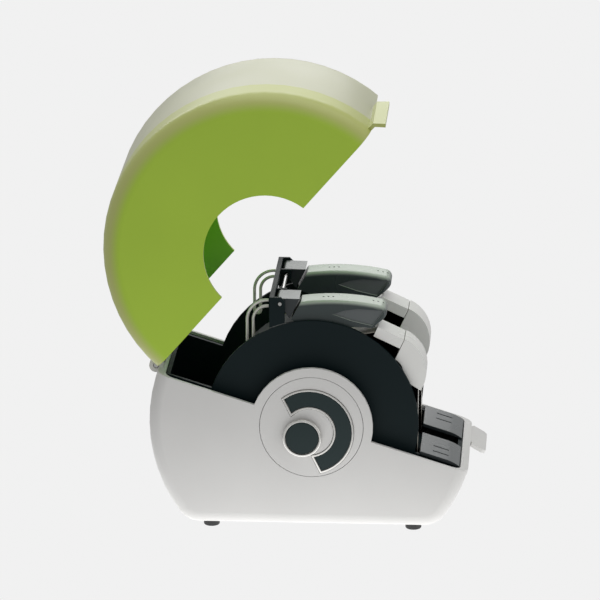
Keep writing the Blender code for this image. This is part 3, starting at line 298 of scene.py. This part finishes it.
def lid_light_mask_group():
    kinds = {name: "NodeSocketFloat" for name in ("Round", "Inside", "Cut", "Band")}
    tree, _, wanted = new_group("lid_skins", {}, kinds)
    place = add_node(tree, "ShaderNodeTexCoord").outputs["Object"]
    centred = add_node(tree, "ShaderNodeMapping")
    centred.inputs["Location"].default_value = -LID_AXIS
    join_up(tree, place, centred.inputs["Vector"])
    part = add_node(tree, "ShaderNodeSeparateXYZ")
    join_up(tree, centred.outputs["Vector"], part.inputs["Vector"])
    x, y, z = part.outputs
    square = maths(tree, "ADD", maths(tree, "MULTIPLY", x, x), maths(tree, "MULTIPLY", z, z))
    radius = maths(tree, "SQRT", square)
    over = maths(tree, "MAXIMUM", maths(tree, "SUBTRACT", radius, LID_RADIUS - LID_EDGE), 0.0)
    side = maths(tree, "SUBTRACT", maths(tree, "ABSOLUTE", y), HALF_WIDTH - LID_EDGE)
    side = maths(tree, "MAXIMUM", side, 0.0)
    square = maths(tree, "ADD", maths(tree, "MULTIPLY", over, over),
                   maths(tree, "MULTIPLY", side, side))
    depth = maths(tree, "SQRT", square)
    # Painted light masks: painted shade on the inside, a painted glow on the cut edges, a painted
    # highlight on the rounded rim, and a warmer painted band beside the hand wheel and on the tab.
    inside = maths(tree, "LESS_THAN", depth, LID_EDGE - LID_WALL)
    outside = maths(tree, "GREATER_THAN", depth, LID_EDGE - SKIN)
    cut = maths(tree, "SUBTRACT", maths(tree, "SUBTRACT", 1.0, inside), outside, clamp=True)
    rim = smooth_step(tree, radius, LID_RADIUS - RIM_START, LID_RADIUS - RIM_END)
    join_up(tree, rim, wanted["Round"])
    beside = maths(tree, "LESS_THAN", y, BAND_WIDTH - HALF_WIDTH)
    on_tab = maths(tree, "GREATER_THAN", radius, LID_RADIUS + TAB_START)
    join_up(tree, maths(tree, "MAXIMUM", beside, on_tab), wanted["Band"])
    join_up(tree, inside, wanted["Inside"])
    join_up(tree, cut, wanted["Cut"])
    return tree


LID_LIGHT_GROUP = lid_light_mask_group()


# %% The lime finish itself
def lime_finish():
    material, shader, surface = new_finish("lime_plastic", (0.28, 0.4), bump=0.02,
                                           Subsurface_Radius=(0.004, 0.004, 0.002))
    tree = material.node_tree
    light_masks = add_node(tree, "ShaderNodeGroup", node_tree=LID_LIGHT_GROUP)
    # Painted light on the lime: a pale rim highlight, a warmer near band, glowing cut edges and a
    # deeper-green inner shade.
    rim = mix_colours(tree, light_masks.outputs["Band"], (0.53, 0.54, 0.37), (0.50, 0.54, 0.17))
    colour = mix_colours(tree, light_masks.outputs["Round"], (0.44, 0.65, 0.050), rim)
    colour = mix_colours(tree, light_masks.outputs["Inside"], colour, (0.25, 0.66, 0.015))
    colour = mix_colours(tree, light_masks.outputs["Cut"], colour, (0.55, 0.62, 0.10))
    tint(material, shader, surface, colour)
    return material


FINISH["lime_plastic"] = lime_finish()

# %% [markdown]
# ## Wound tape
# A roll's side shows the edges of hundreds of turns, with slight gaps where the tension changed,
# and a card core in the middle. Rings that depend only on the distance from the axle give both.


# %% The tape finish
CORE_EDGE = 40.6 * MM


def tape_finish():
    material, shader, surface = new_finish("tape_film", (0.16, 0.3), bump=0.02,
                                           Transmission_Weight=0.0)
    tree = material.node_tree
    place = add_node(tree, "ShaderNodeTexCoord").outputs["Object"]
    centred = add_node(tree, "ShaderNodeMapping")
    centred.inputs["Location"].default_value = -DRUM_AXIS
    join_up(tree, place, centred.inputs["Vector"])
    part = add_node(tree, "ShaderNodeSeparateXYZ")
    join_up(tree, centred.outputs["Vector"], part.inputs["Vector"])
    x, _, z = part.outputs
    square = maths(tree, "ADD", maths(tree, "MULTIPLY", x, x), maths(tree, "MULTIPLY", z, z))
    radius = maths(tree, "SQRT", square)
    turns = add_node(tree, "ShaderNodeTexNoise", noise_dimensions="1D")
    turns.inputs["Scale"].default_value = 2400.0
    turns.inputs["Detail"].default_value = 3.0
    join_up(tree, radius, turns.inputs["W"])
    colour = mix_colours(tree, turns.outputs["Fac"], (0.50, 0.47, 0.38), (0.78, 0.76, 0.68))
    core = maths(tree, "LESS_THAN", radius, CORE_EDGE)
    colour = mix_colours(tree, core, colour, (0.36, 0.27, 0.18))
    tint(material, shader, surface, colour)
    return material


FINISH["tape_film"] = tape_finish()

# %% [markdown]
# ## Smoky plastic
# The covers and exit heads are a smoky, slightly see-through plastic. Where it faces up, its
# colour is painted pale as a highlight of the light from above, and its sides are painted dark as
# shade.
# The leaf sunk into each cover's side gets a painted highlight, a shade lighter than the side. A
# mask finds it by how deep it lies under the side of its lane.


# %% The smoky finishes
LANE_LOW, LANE_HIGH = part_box("roll_cover_rear")
LANE_MIDDLE = (LANE_LOW.y + LANE_HIGH.y) / 2
LEAF_DEPTH = 0.9 * MM
LEAF_FLOOR = (LANE_HIGH.y - LANE_LOW.y) / 2 - LEAF_DEPTH


def smoke_finish(name, dark, pale, leaf=None):
    material, shader, surface = new_finish(name, (0.22, 0.34), bump=0.015, Coat_Weight=0.15,
                                           Coat_Roughness=0.2, Specular_IOR_Level=0.4)
    tree = material.node_tree
    place = add_node(tree, "ShaderNodeTexCoord")
    facing = add_node(tree, "ShaderNodeSeparateXYZ")
    join_up(tree, place.outputs["Normal"], facing.inputs["Vector"])
    # Painted highlight: up-facing surfaces are pale, and the sides are painted dark as shade.
    up = smooth_step(tree, facing.outputs["Z"], 0.15, 0.95)
    colour = mix_colours(tree, up, dark, pale)
    # Painted highlight on the sunk leaf: its floor is coloured lighter than the side around it.
    if leaf:
        part = add_node(tree, "ShaderNodeSeparateXYZ")
        join_up(tree, place.outputs["Object"], part.inputs["Vector"])
        across = maths(tree, "ABSOLUTE", part.outputs["Y"])
        depth = maths(tree, "ABSOLUTE", maths(tree, "SUBTRACT", across, LANE_MIDDLE))
        near = maths(tree, "ABSOLUTE", maths(tree, "SUBTRACT", depth, LEAF_FLOOR))
        sunk = maths(tree, "LESS_THAN", near, 0.3 * MM)
        flat = maths(tree, "LESS_THAN", maths(tree, "ABSOLUTE", facing.outputs["Z"]), 0.2)
        colour = mix_colours(tree, maths(tree, "MULTIPLY", sunk, flat), colour, leaf)
    return tint(material, shader, surface, colour)


# Shaded side colour, painted top highlight, and for the covers the leaf's painted highlight.
FINISH["smoke_plastic"] = smoke_finish("smoke_plastic", (0.045, 0.060, 0.060), (0.50, 0.57, 0.49),
                                       (0.125, 0.140, 0.142))
FINISH["smoke_head"] = smoke_finish("smoke_head", (0.033, 0.040, 0.043), (0.135, 0.146, 0.150))

# %% [markdown]
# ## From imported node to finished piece
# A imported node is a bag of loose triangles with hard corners. A real moulding has softened edges
# that catch the light. So each node is copied, welded, freed of needless lines on its flat faces,
# given a small bevel on its corners, and smoothed between them. The copy then stands for the node.


# %% Copy, weld and soften
def welded_copy(node, name=None):
    form = bmesh.new()
    form.from_mesh(frame["nodes"][node].data)
    bmesh.ops.remove_doubles(form, verts=form.verts, dist=0.004 * MM)
    flat = math.radians(0.2)
    bmesh.ops.dissolve_limit(form, angle_limit=flat, verts=form.verts, edges=form.edges)
    mesh = bpy.data.meshes.new(name or f"{node}_finished")
    form.to_mesh(mesh)
    form.free()
    piece = bpy.data.objects.new(mesh.name, mesh)
    bpy.context.scene.collection.objects.link(piece)
    return piece


def add_bevel(piece, width, segments=2, angle=38.0):
    bevel = piece.modifiers.new("soft edges", "BEVEL")
    bevel.width = width
    bevel.segments = segments
    bevel.limit_method = "ANGLE"
    bevel.angle_limit = math.radians(angle)
    bevel.use_clamp_overlap = True
    bevel.miter_outer = "MITER_ARC"
    return piece


def as_evaluated(piece):
    """The evaluated piece as a plain mesh with no modifiers left."""
    bpy.context.view_layer.update()
    graph = bpy.context.evaluated_depsgraph_get()
    mesh = bpy.data.meshes.new_from_object(piece.evaluated_get(graph))
    piece.modifiers.clear()
    old = piece.data
    name = old.name
    piece.data = mesh
    bpy.data.meshes.remove(old)
    mesh.name = name
    return piece


def settle(piece, smooth_angle=32.0):
    """Settles the shape, then shades it smooth with the large flat faces kept truly flat."""
    mesh = as_evaluated(piece).data
    mesh.shade_smooth()
    mesh.set_sharp_from_angle(angle=math.radians(smooth_angle))
    even = piece.modifiers.new("even sheen", "WEIGHTED_NORMAL")
    even.keep_sharp = True
    return as_evaluated(piece)


def fit_out(piece, *nodes, finish=None):
    """Gives the piece its finish and lets it stand for these nodes, on the body they are on."""
    slot = SLOT_OF[nodes[0]]
    piece.data.materials.clear()
    piece.data.materials.append(finish or FINISH[slot])
    for polygon in piece.data.polygons:
        polygon.material_index = 0
    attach(piece, BODY_OF[nodes[0]])
    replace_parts(piece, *nodes)
    return piece


def soften(node, width=0.3 * MM, segments=2, angle=38.0):
    piece = settle(add_bevel(welded_copy(node), width, segments, angle))
    head = node.startswith(("exit_head", "cover_wedge"))
    return fit_out(piece, node, finish=FINISH["smoke_head"] if head else None)


# %% [markdown]
# ## The shells
# The base, the liner and the lid are large injection mouldings. Their open edges are rounded by
# about half a millimetre, which draws the thin bright line round each of them.

# %% Soften the shells and the plain mouldings
EDGE_WIDTH = {
    "base_shell": 0.35 * MM,
    "inner_liner": 0.5 * MM,
    "lid": 0.5 * MM,
    "bridge": 0.7 * MM,
    "hand_wheel": 0.12 * MM,
    "centre_housing": 0.8 * MM,
    "crescent_inlay": 0.12 * MM,
    "crescent_rim": 0.25 * MM,
    "thumb_knob": 0.5 * MM,
    "thumb_rim": 0.4 * MM,
}
for side in ("front", "rear"):
    EDGE_WIDTH[f"cover_wedge_{side}"] = 0.7 * MM
    EDGE_WIDTH[f"exit_head_{side}"] = 0.5 * MM
    EDGE_WIDTH[f"guide_{side}"] = 0.35 * MM
    EDGE_WIDTH[f"guide_sleeve_{side}"] = 0.3 * MM
for node, width in EDGE_WIDTH.items():
    made = soften(node, width)
    print(node, len(made.data.polygons), "faces")

# %% [markdown]
# ## Drilled covers
# Each roll cover has two short rows of vents. A row is a rule, a count and a pitch, so Geometry
# Nodes lay out the drills, and one Boolean takes them all out of the cover at once.


# %% A tree that lays drills in a row
def geometry_tree(name, sockets):
    """A geometry tree; sockets is {name: (kind, default)}, all inputs after the geometry."""
    tree = bpy.data.node_groups.new(name, "GeometryNodeTree")
    tree.interface.new_socket(name="Geometry", in_out="INPUT", socket_type="NodeSocketGeometry")
    for label, (kind, default) in sockets.items():
        socket = tree.interface.new_socket(name=label, in_out="INPUT", socket_type=kind)
        if default is not None:
            socket.default_value = default
    tree.interface.new_socket(name="Geometry", in_out="OUTPUT", socket_type="NodeSocketGeometry")
    entry = add_node(tree, "NodeGroupInput")
    leave = add_node(tree, "NodeGroupOutput")
    return tree, entry.outputs, leave.inputs["Geometry"]


def end_tree(tree, given, geometry, leave):
    """Every tree ends the same way: real geometry, then its material."""
    real = add_node(tree, "GeometryNodeRealizeInstances")
    paint = add_node(tree, "GeometryNodeSetMaterial")
    join_up(tree, geometry, real.inputs["Geometry"])
    join_up(tree, real.outputs["Geometry"], paint.inputs["Geometry"])
    join_up(tree, given["Material"], paint.inputs["Material"])
    join_up(tree, paint.outputs["Geometry"], leave)


def drill_row_tree():
    tree, given, leave = geometry_tree("drill_row", {
        "Count": ("NodeSocketInt", 3),
        "Pitch": ("NodeSocketFloat", 3.0 * MM),
        "Radius": ("NodeSocketFloat", 0.7 * MM),
        "Length": ("NodeSocketFloat", 8.0 * MM),
        "Material": ("NodeSocketMaterial", None),
    })
    drill = add_node(tree, "GeometryNodeMeshCylinder")
    drill.inputs["Vertices"].default_value = 12
    join_up(tree, given["Radius"], drill.inputs["Radius"])
    join_up(tree, given["Length"], drill.inputs["Depth"])
    step = add_node(tree, "ShaderNodeCombineXYZ")
    join_up(tree, given["Pitch"], step.inputs["X"])
    row = add_node(tree, "GeometryNodeMeshLine")
    join_up(tree, given["Count"], row.inputs["Count"])
    join_up(tree, step.outputs["Vector"], row.inputs["Offset"])
    spots = add_node(tree, "GeometryNodeInstanceOnPoints")
    starts = add_node(tree, "GeometryNodeInstanceOnPoints")
    join_up(tree, row.outputs["Mesh"], spots.inputs["Points"])
    join_up(tree, drill.outputs["Mesh"], spots.inputs["Instance"])
    join_up(tree, given["Geometry"], starts.inputs["Points"])
    join_up(tree, spots.outputs["Instances"], starts.inputs["Instance"])
    end_tree(tree, given, starts.outputs["Instances"], leave)
    return tree


DRILL_ROW = drill_row_tree()


def points_object(name, places):
    mesh = bpy.data.meshes.new(name)
    mesh.from_pydata([tuple(place) for place in places], [], [])
    piece = bpy.data.objects.new(name, mesh)
    bpy.context.scene.collection.objects.link(piece)
    return piece


def grow(piece, tree, **values):
    """Puts the tree on the piece, its inputs set by their identifiers, and settles the result."""
    modifier = piece.modifiers.new(tree.name, "NODES")
    modifier.node_group = tree
    identifiers = {item.name: item.identifier for item in tree.interface.items_tree
                   if item.in_out == "INPUT"}
    for label, value in values.items():
        modifier[identifiers[label]] = value
    return settle(piece)


# %% Drill and finish the covers
VENT_STARTS = (19.6 * MM, 50.4 * MM)
COVER_EDGE = 0.6 * MM
for side in ("front", "rear"):
    node = f"roll_cover_{side}"
    low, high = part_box(node)
    centre_y = (low.y + high.y) / 2
    cover = settle(add_bevel(welded_copy(node), COVER_EDGE, 3))
    starts = [(low.x + start, centre_y, high.z) for start in VENT_STARTS]
    drills = grow(points_object(f"drills_{side}", starts), DRILL_ROW,
                  Material=FINISH["smoke_plastic"])
    drilling = cover.modifiers.new("vents", "BOOLEAN")
    drilling.operation = "DIFFERENCE"
    drilling.object = drills
    settle(cover)
    bpy.data.objects.remove(drills)
    fit_out(cover, node)
    print(node, len(cover.data.polygons), "faces after drilling")

# %% [markdown]
# ## Bent wire
# A wire guard is one wire bent into a hairpin. Its centre line follows from its box: up, over and
# down again inside itself. Geometry Nodes turn the line into a curve, space it evenly and sweep a
# circle along it, which is how a wire bender sees it too.


# %% Sweep a circle along a line
def wire_tree():
    tree, given, leave = geometry_tree("swept_wire", {
        "Radius": ("NodeSocketFloat", 1.0 * MM),
        "Spacing": ("NodeSocketFloat", 0.7 * MM),
        "Sides": ("NodeSocketInt", 14),
        "Material": ("NodeSocketMaterial", None),
    })
    line = add_node(tree, "GeometryNodeMeshToCurve")
    even = add_node(tree, "GeometryNodeResampleCurve")
    even.mode = "LENGTH"
    ring = add_node(tree, "GeometryNodeCurvePrimitiveCircle")
    sweep = add_node(tree, "GeometryNodeCurveToMesh")
    sweep.inputs["Fill Caps"].default_value = True
    join_up(tree, given["Geometry"], line.inputs["Mesh"])
    join_up(tree, line.outputs["Curve"], even.inputs["Curve"])
    join_up(tree, given["Spacing"], even.inputs["Length"])
    join_up(tree, given["Sides"], ring.inputs["Resolution"])
    join_up(tree, given["Radius"], ring.inputs["Radius"])
    join_up(tree, even.outputs["Curve"], sweep.inputs["Curve"])
    join_up(tree, ring.outputs["Curve"], sweep.inputs["Profile Curve"])
    end_tree(tree, given, sweep.outputs["Mesh"], leave)
    return tree


WIRE = wire_tree()
WIRE_RADIUS = 0.99 * MM
WIRE_SPREAD = 3.8 * MM
BEND_RADIUS = 12.6 * MM
BEND_STEPS = 24


def arc_points(centre, radius, first, last, steps):
    turns = [first + (last - first) * i / steps for i in range(steps + 1)]
    return [(centre.x + radius * math.cos(t), centre.y, centre.z + radius * math.sin(t))
            for t in turns]


for side in ("front", "rear"):
    node = f"wire_guard_{side}"
    low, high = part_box(node)
    inner_radius = BEND_RADIUS - WIRE_SPREAD
    bend = Vector((low.x + WIRE_RADIUS + BEND_RADIUS, (low.y + high.y) / 2,
                   high.z - WIRE_RADIUS - BEND_RADIUS))
    return_z = low.z + WIRE_RADIUS + WIRE_SPREAD / 2
    foot = Vector((bend.x - BEND_RADIUS + WIRE_SPREAD / 2, bend.y, return_z))
    top, left = math.radians(88), math.pi
    path = [(high.x, bend.y, bend.z + BEND_RADIUS)]
    path += arc_points(bend, BEND_RADIUS, top, left, BEND_STEPS)
    path += arc_points(foot, WIRE_SPREAD / 2, math.pi, 2 * math.pi, BEND_STEPS)
    path += arc_points(bend, inner_radius, left, top, BEND_STEPS)
    path.append((high.x, bend.y, bend.z + inner_radius))
    mesh = bpy.data.meshes.new(f"{node}_finished")
    mesh.from_pydata(path, [(i, i + 1) for i in range(len(path) - 1)], [])
    wire = bpy.data.objects.new(mesh.name, mesh)
    bpy.context.scene.collection.objects.link(wire)
    fit_out(grow(wire, WIRE, Radius=WIRE_RADIUS, Material=FINISH["bright_wire"]), node,
            finish=FINISH["bright_wire"])
    print(node, len(wire.data.polygons), "faces")

# %% [markdown]
# ## Feet and screws
# The four feet are one rubber shape used four times, and so are the four screws. Each shape is
# turned once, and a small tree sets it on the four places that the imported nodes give.


# %% A tree that sets one shape on many places
def copies_tree():
    tree, given, leave = geometry_tree("copies_on_places", {
        "Shape": ("NodeSocketObject", None),
        "Material": ("NodeSocketMaterial", None),
    })
    shape = add_node(tree, "GeometryNodeObjectInfo")
    shape.inputs["As Instance"].default_value = True
    spots = add_node(tree, "GeometryNodeInstanceOnPoints")
    join_up(tree, given["Shape"], shape.inputs["Object"])
    join_up(tree, given["Geometry"], spots.inputs["Points"])
    join_up(tree, shape.outputs["Geometry"], spots.inputs["Instance"])
    end_tree(tree, given, spots.outputs["Instances"], leave)
    return tree


COPIES = copies_tree()


def turned_shape(name, profile, steps):
    """A solid turned about Z from (radius, height) points that start and end on the axis."""
    form = bmesh.new()
    points = [form.verts.new((radius, 0, height)) for radius, height in profile]
    edges = [form.edges.new(pair) for pair in zip(points, points[1:])]
    bmesh.ops.spin(form, geom=points + edges, cent=(0, 0, 0), axis=(0, 0, 1), dvec=(0, 0, 0),
                   angle=2 * math.pi, steps=steps, use_merge=True)
    bmesh.ops.remove_doubles(form, verts=form.verts, dist=0.002 * MM)
    bmesh.ops.recalc_face_normals(form, faces=form.faces)
    mesh = bpy.data.meshes.new(name)
    form.to_mesh(mesh)
    form.free()
    piece = bpy.data.objects.new(name, mesh)
    bpy.context.scene.collection.objects.link(piece)
    return piece


def set_copies(name, shape, nodes):
    tops = [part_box(node) for node in nodes]
    places = [((low.x + high.x) / 2, (low.y + high.y) / 2, low.z) for low, high in tops]
    group = grow(points_object(name, places), COPIES, Shape=shape,
                 Material=FINISH[SLOT_OF[nodes[0]]])
    bpy.data.objects.remove(shape)
    fit_out(group, *nodes)
    print(name, len(group.data.polygons), "faces")


# %% Turn a foot, with a dished sole, and set four
FOOT_SHOULDER, FOOT_STEM = 5.1 * MM, 2 * MM
SOLE_DISH = 0.35 * MM
FEET = [f"foot_{number}" for number in range(1, 5)]
low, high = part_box(FEET[0])
foot_radius = (high.x - low.x) / 2
foot_height = high.z - low.z
sole_edge = arc_points(Vector((foot_radius - MM, 0, MM)), MM, -math.pi / 2, 0, 5)
foot_profile = [(0, SOLE_DISH), (foot_radius - 2.2 * MM, SOLE_DISH), (foot_radius - 1.6 * MM, 0)]
foot_profile += [(x, z) for x, _, z in sole_edge]
foot_profile += [(foot_radius, FOOT_SHOULDER), (FOOT_STEM, FOOT_SHOULDER),
                 (FOOT_STEM, foot_height), (0, foot_height)]
set_copies("rubber_feet", turned_shape("foot_shape", foot_profile, 28), FEET)

# %% Turn a screw, cut its cross, and set four
SCREWS = [f"liner_screw_{number}" for number in range(1, 5)]
HEAD_HEIGHT, SHANK_RADIUS = 1.2 * MM, 1.5 * MM
CROSS_LENGTH, CROSS_WIDTH, CROSS_DEPTH = 3.4 * MM, 0.7 * MM, 1.6 * MM
low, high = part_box(SCREWS[0])
head_radius = (high.x - low.x) / 2
dome = [(head_radius * math.sin(t), HEAD_HEIGHT * (1 - math.cos(t)) * 0.5)
        for t in (math.pi / 2 * i / 5 for i in range(6))]
screw_profile = [*dome, (head_radius, HEAD_HEIGHT), (SHANK_RADIUS, HEAD_HEIGHT),
                 (SHANK_RADIUS, high.z - low.z), (0, high.z - low.z)]
screw = turned_shape("screw_shape", screw_profile, 24)
for length, breadth in ((CROSS_LENGTH, CROSS_WIDTH), (CROSS_WIDTH, CROSS_LENGTH)):
    bpy.ops.mesh.primitive_cube_add(size=1)
    slot_cutter = bpy.context.object
    slot_cutter.scale = (length, breadth, CROSS_DEPTH)
    bpy.context.view_layer.update()
    crossing = screw.modifiers.new("cross", "BOOLEAN")
    crossing.operation = "DIFFERENCE"
    crossing.object = slot_cutter
    settle(screw)
    bpy.data.objects.remove(slot_cutter)
set_copies("liner_screws", screw, SCREWS)

# %% [markdown]
# ## The rest of the works
# Axle, pulleys, spools, rollers, washers and pins are plain turned or pressed parts. They keep
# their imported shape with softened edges, and only their finish differs.

# %% Finish every node that is still plain
done = {name for piece in bpy.data.objects for name in piece.get("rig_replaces", [])}
for node in sorted(set(BODY_OF) - done):
    thin = min(high - low for low, high in zip(*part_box(node)))
    soften(node, min(0.25 * MM, thin / 6))
print(len(BODY_OF) - len(done), "plain nodes finished")

# %% [markdown]
# ## Studio
# A pale sweep with no horizon: the camera sees the same pale grey on the floor and behind it.
# The table is lit from below, brightest round the base, so the base grows lighter downwards. Large
# panels overhead, behind and at the right add soft highlights.

# %% Floor and surroundings
PALE = 0.879
scene = bpy.context.scene
scene.view_settings.view_transform = "Standard"


def seen_or_lit(tree, seen, lit):
    """One shader for what the camera sees directly and another for what lights the object."""
    path = add_node(tree, "ShaderNodeLightPath")
    mix = add_node(tree, "ShaderNodeMixShader")
    join_up(tree, path.outputs["Is Camera Ray"], mix.inputs[0])
    join_up(tree, lit, mix.inputs[1])
    join_up(tree, seen, mix.inputs[2])
    return mix.outputs[0]


bpy.ops.mesh.primitive_plane_add(size=8, location=(0, 0, FLOOR_HEIGHT))
floor = bpy.context.object
floor.name = "studio_floor"
sweep = bpy.data.materials.new("pale_sweep")
sweep.use_nodes = True
tree = sweep.node_tree
glow = add_node(tree, "ShaderNodeEmission")
glow.inputs["Color"].default_value = (PALE, PALE, PALE, 1)
spot = add_node(tree, "ShaderNodeTexCoord").outputs["Object"]
reach = add_node(tree, "ShaderNodeVectorMath", operation="LENGTH")
join_up(tree, spot, reach.inputs[0])
pool = add_node(tree, "ShaderNodeMapRange", interpolation_type="SMOOTHSTEP")
join_up(tree, reach.outputs["Value"], pool.inputs["Value"])
for label, value in {"From Min": 0.08, "From Max": 0.30, "To Min": 1.55, "To Max": 0.45}.items():
    pool.inputs[label].default_value = value
under = add_node(tree, "ShaderNodeEmission")
join_up(tree, pool.outputs["Result"], under.inputs["Strength"])
join_up(tree, seen_or_lit(tree, glow.outputs[0], under.outputs[0]),
        tree.nodes["Material Output"].inputs["Surface"])
floor.data.materials.append(sweep)

world = bpy.data.worlds.new("studio")
world.use_nodes = True
scene.world = world
tree = world.node_tree
seen = tree.nodes["Background"]
seen.inputs["Color"].default_value = (PALE, PALE, PALE, 1)
lit = add_node(tree, "ShaderNodeBackground")
lit.inputs["Color"].default_value = (1, 1, 1, 1)
lit.inputs["Strength"].default_value = 0.45
join_up(tree, seen_or_lit(tree, seen.outputs[0], lit.outputs[0]),
        tree.nodes["World Output"].inputs["Surface"])


# %% Panels of soft light
def add_panel(name, place, aim, size, power):
    light = bpy.data.lights.new(name, "AREA")
    light.shape = "RECTANGLE"
    light.size, light.size_y = size
    light.energy = power
    panel = bpy.data.objects.new(name, light)
    panel.location = place
    panel.rotation_euler = (Vector(aim) - Vector(place)).to_track_quat("-Z", "Y").to_euler()
    scene.collection.objects.link(panel)
    return panel


CENTRE = (cad_bounds[0][0] / 2 + cad_bounds[1][0] / 2, 0, 0.12)
add_panel("overhead", (0.1, 0.2, 1.5), CENTRE, (1.6, 1.2), 7)
add_panel("behind", (-0.3, 1.4, 0.9), CENTRE, (1.4, 0.9), 6)
add_panel("right", (1.3, -0.7, 0.6), CENTRE, (0.5, 1.0), 2)

# %% [markdown]
# ## Camera
# A long lens from a little above keeps the drum's side almost flat on, with just enough height
# to look down on the covers and over the far side of the lid.

# %% Place the camera
TARGET = Vector((-0.007, -HALF_WIDTH, 0.1463))
RAISED = math.radians(16.2)
TURNED = math.radians(3.4)
DISTANCE = 2.99
offset = Vector((math.sin(TURNED) * math.cos(RAISED), -math.cos(TURNED) * math.cos(RAISED),
                 math.sin(RAISED)))
lens = bpy.data.cameras.new("long_lens")
lens.lens = 292.6
lens.clip_end = 30
camera = bpy.data.objects.new("camera", lens)
camera.location = TARGET + offset * DISTANCE
camera.rotation_euler = (-offset).to_track_quat("-Z", "Y").to_euler()
scene.collection.objects.link(camera)
scene.camera = camera
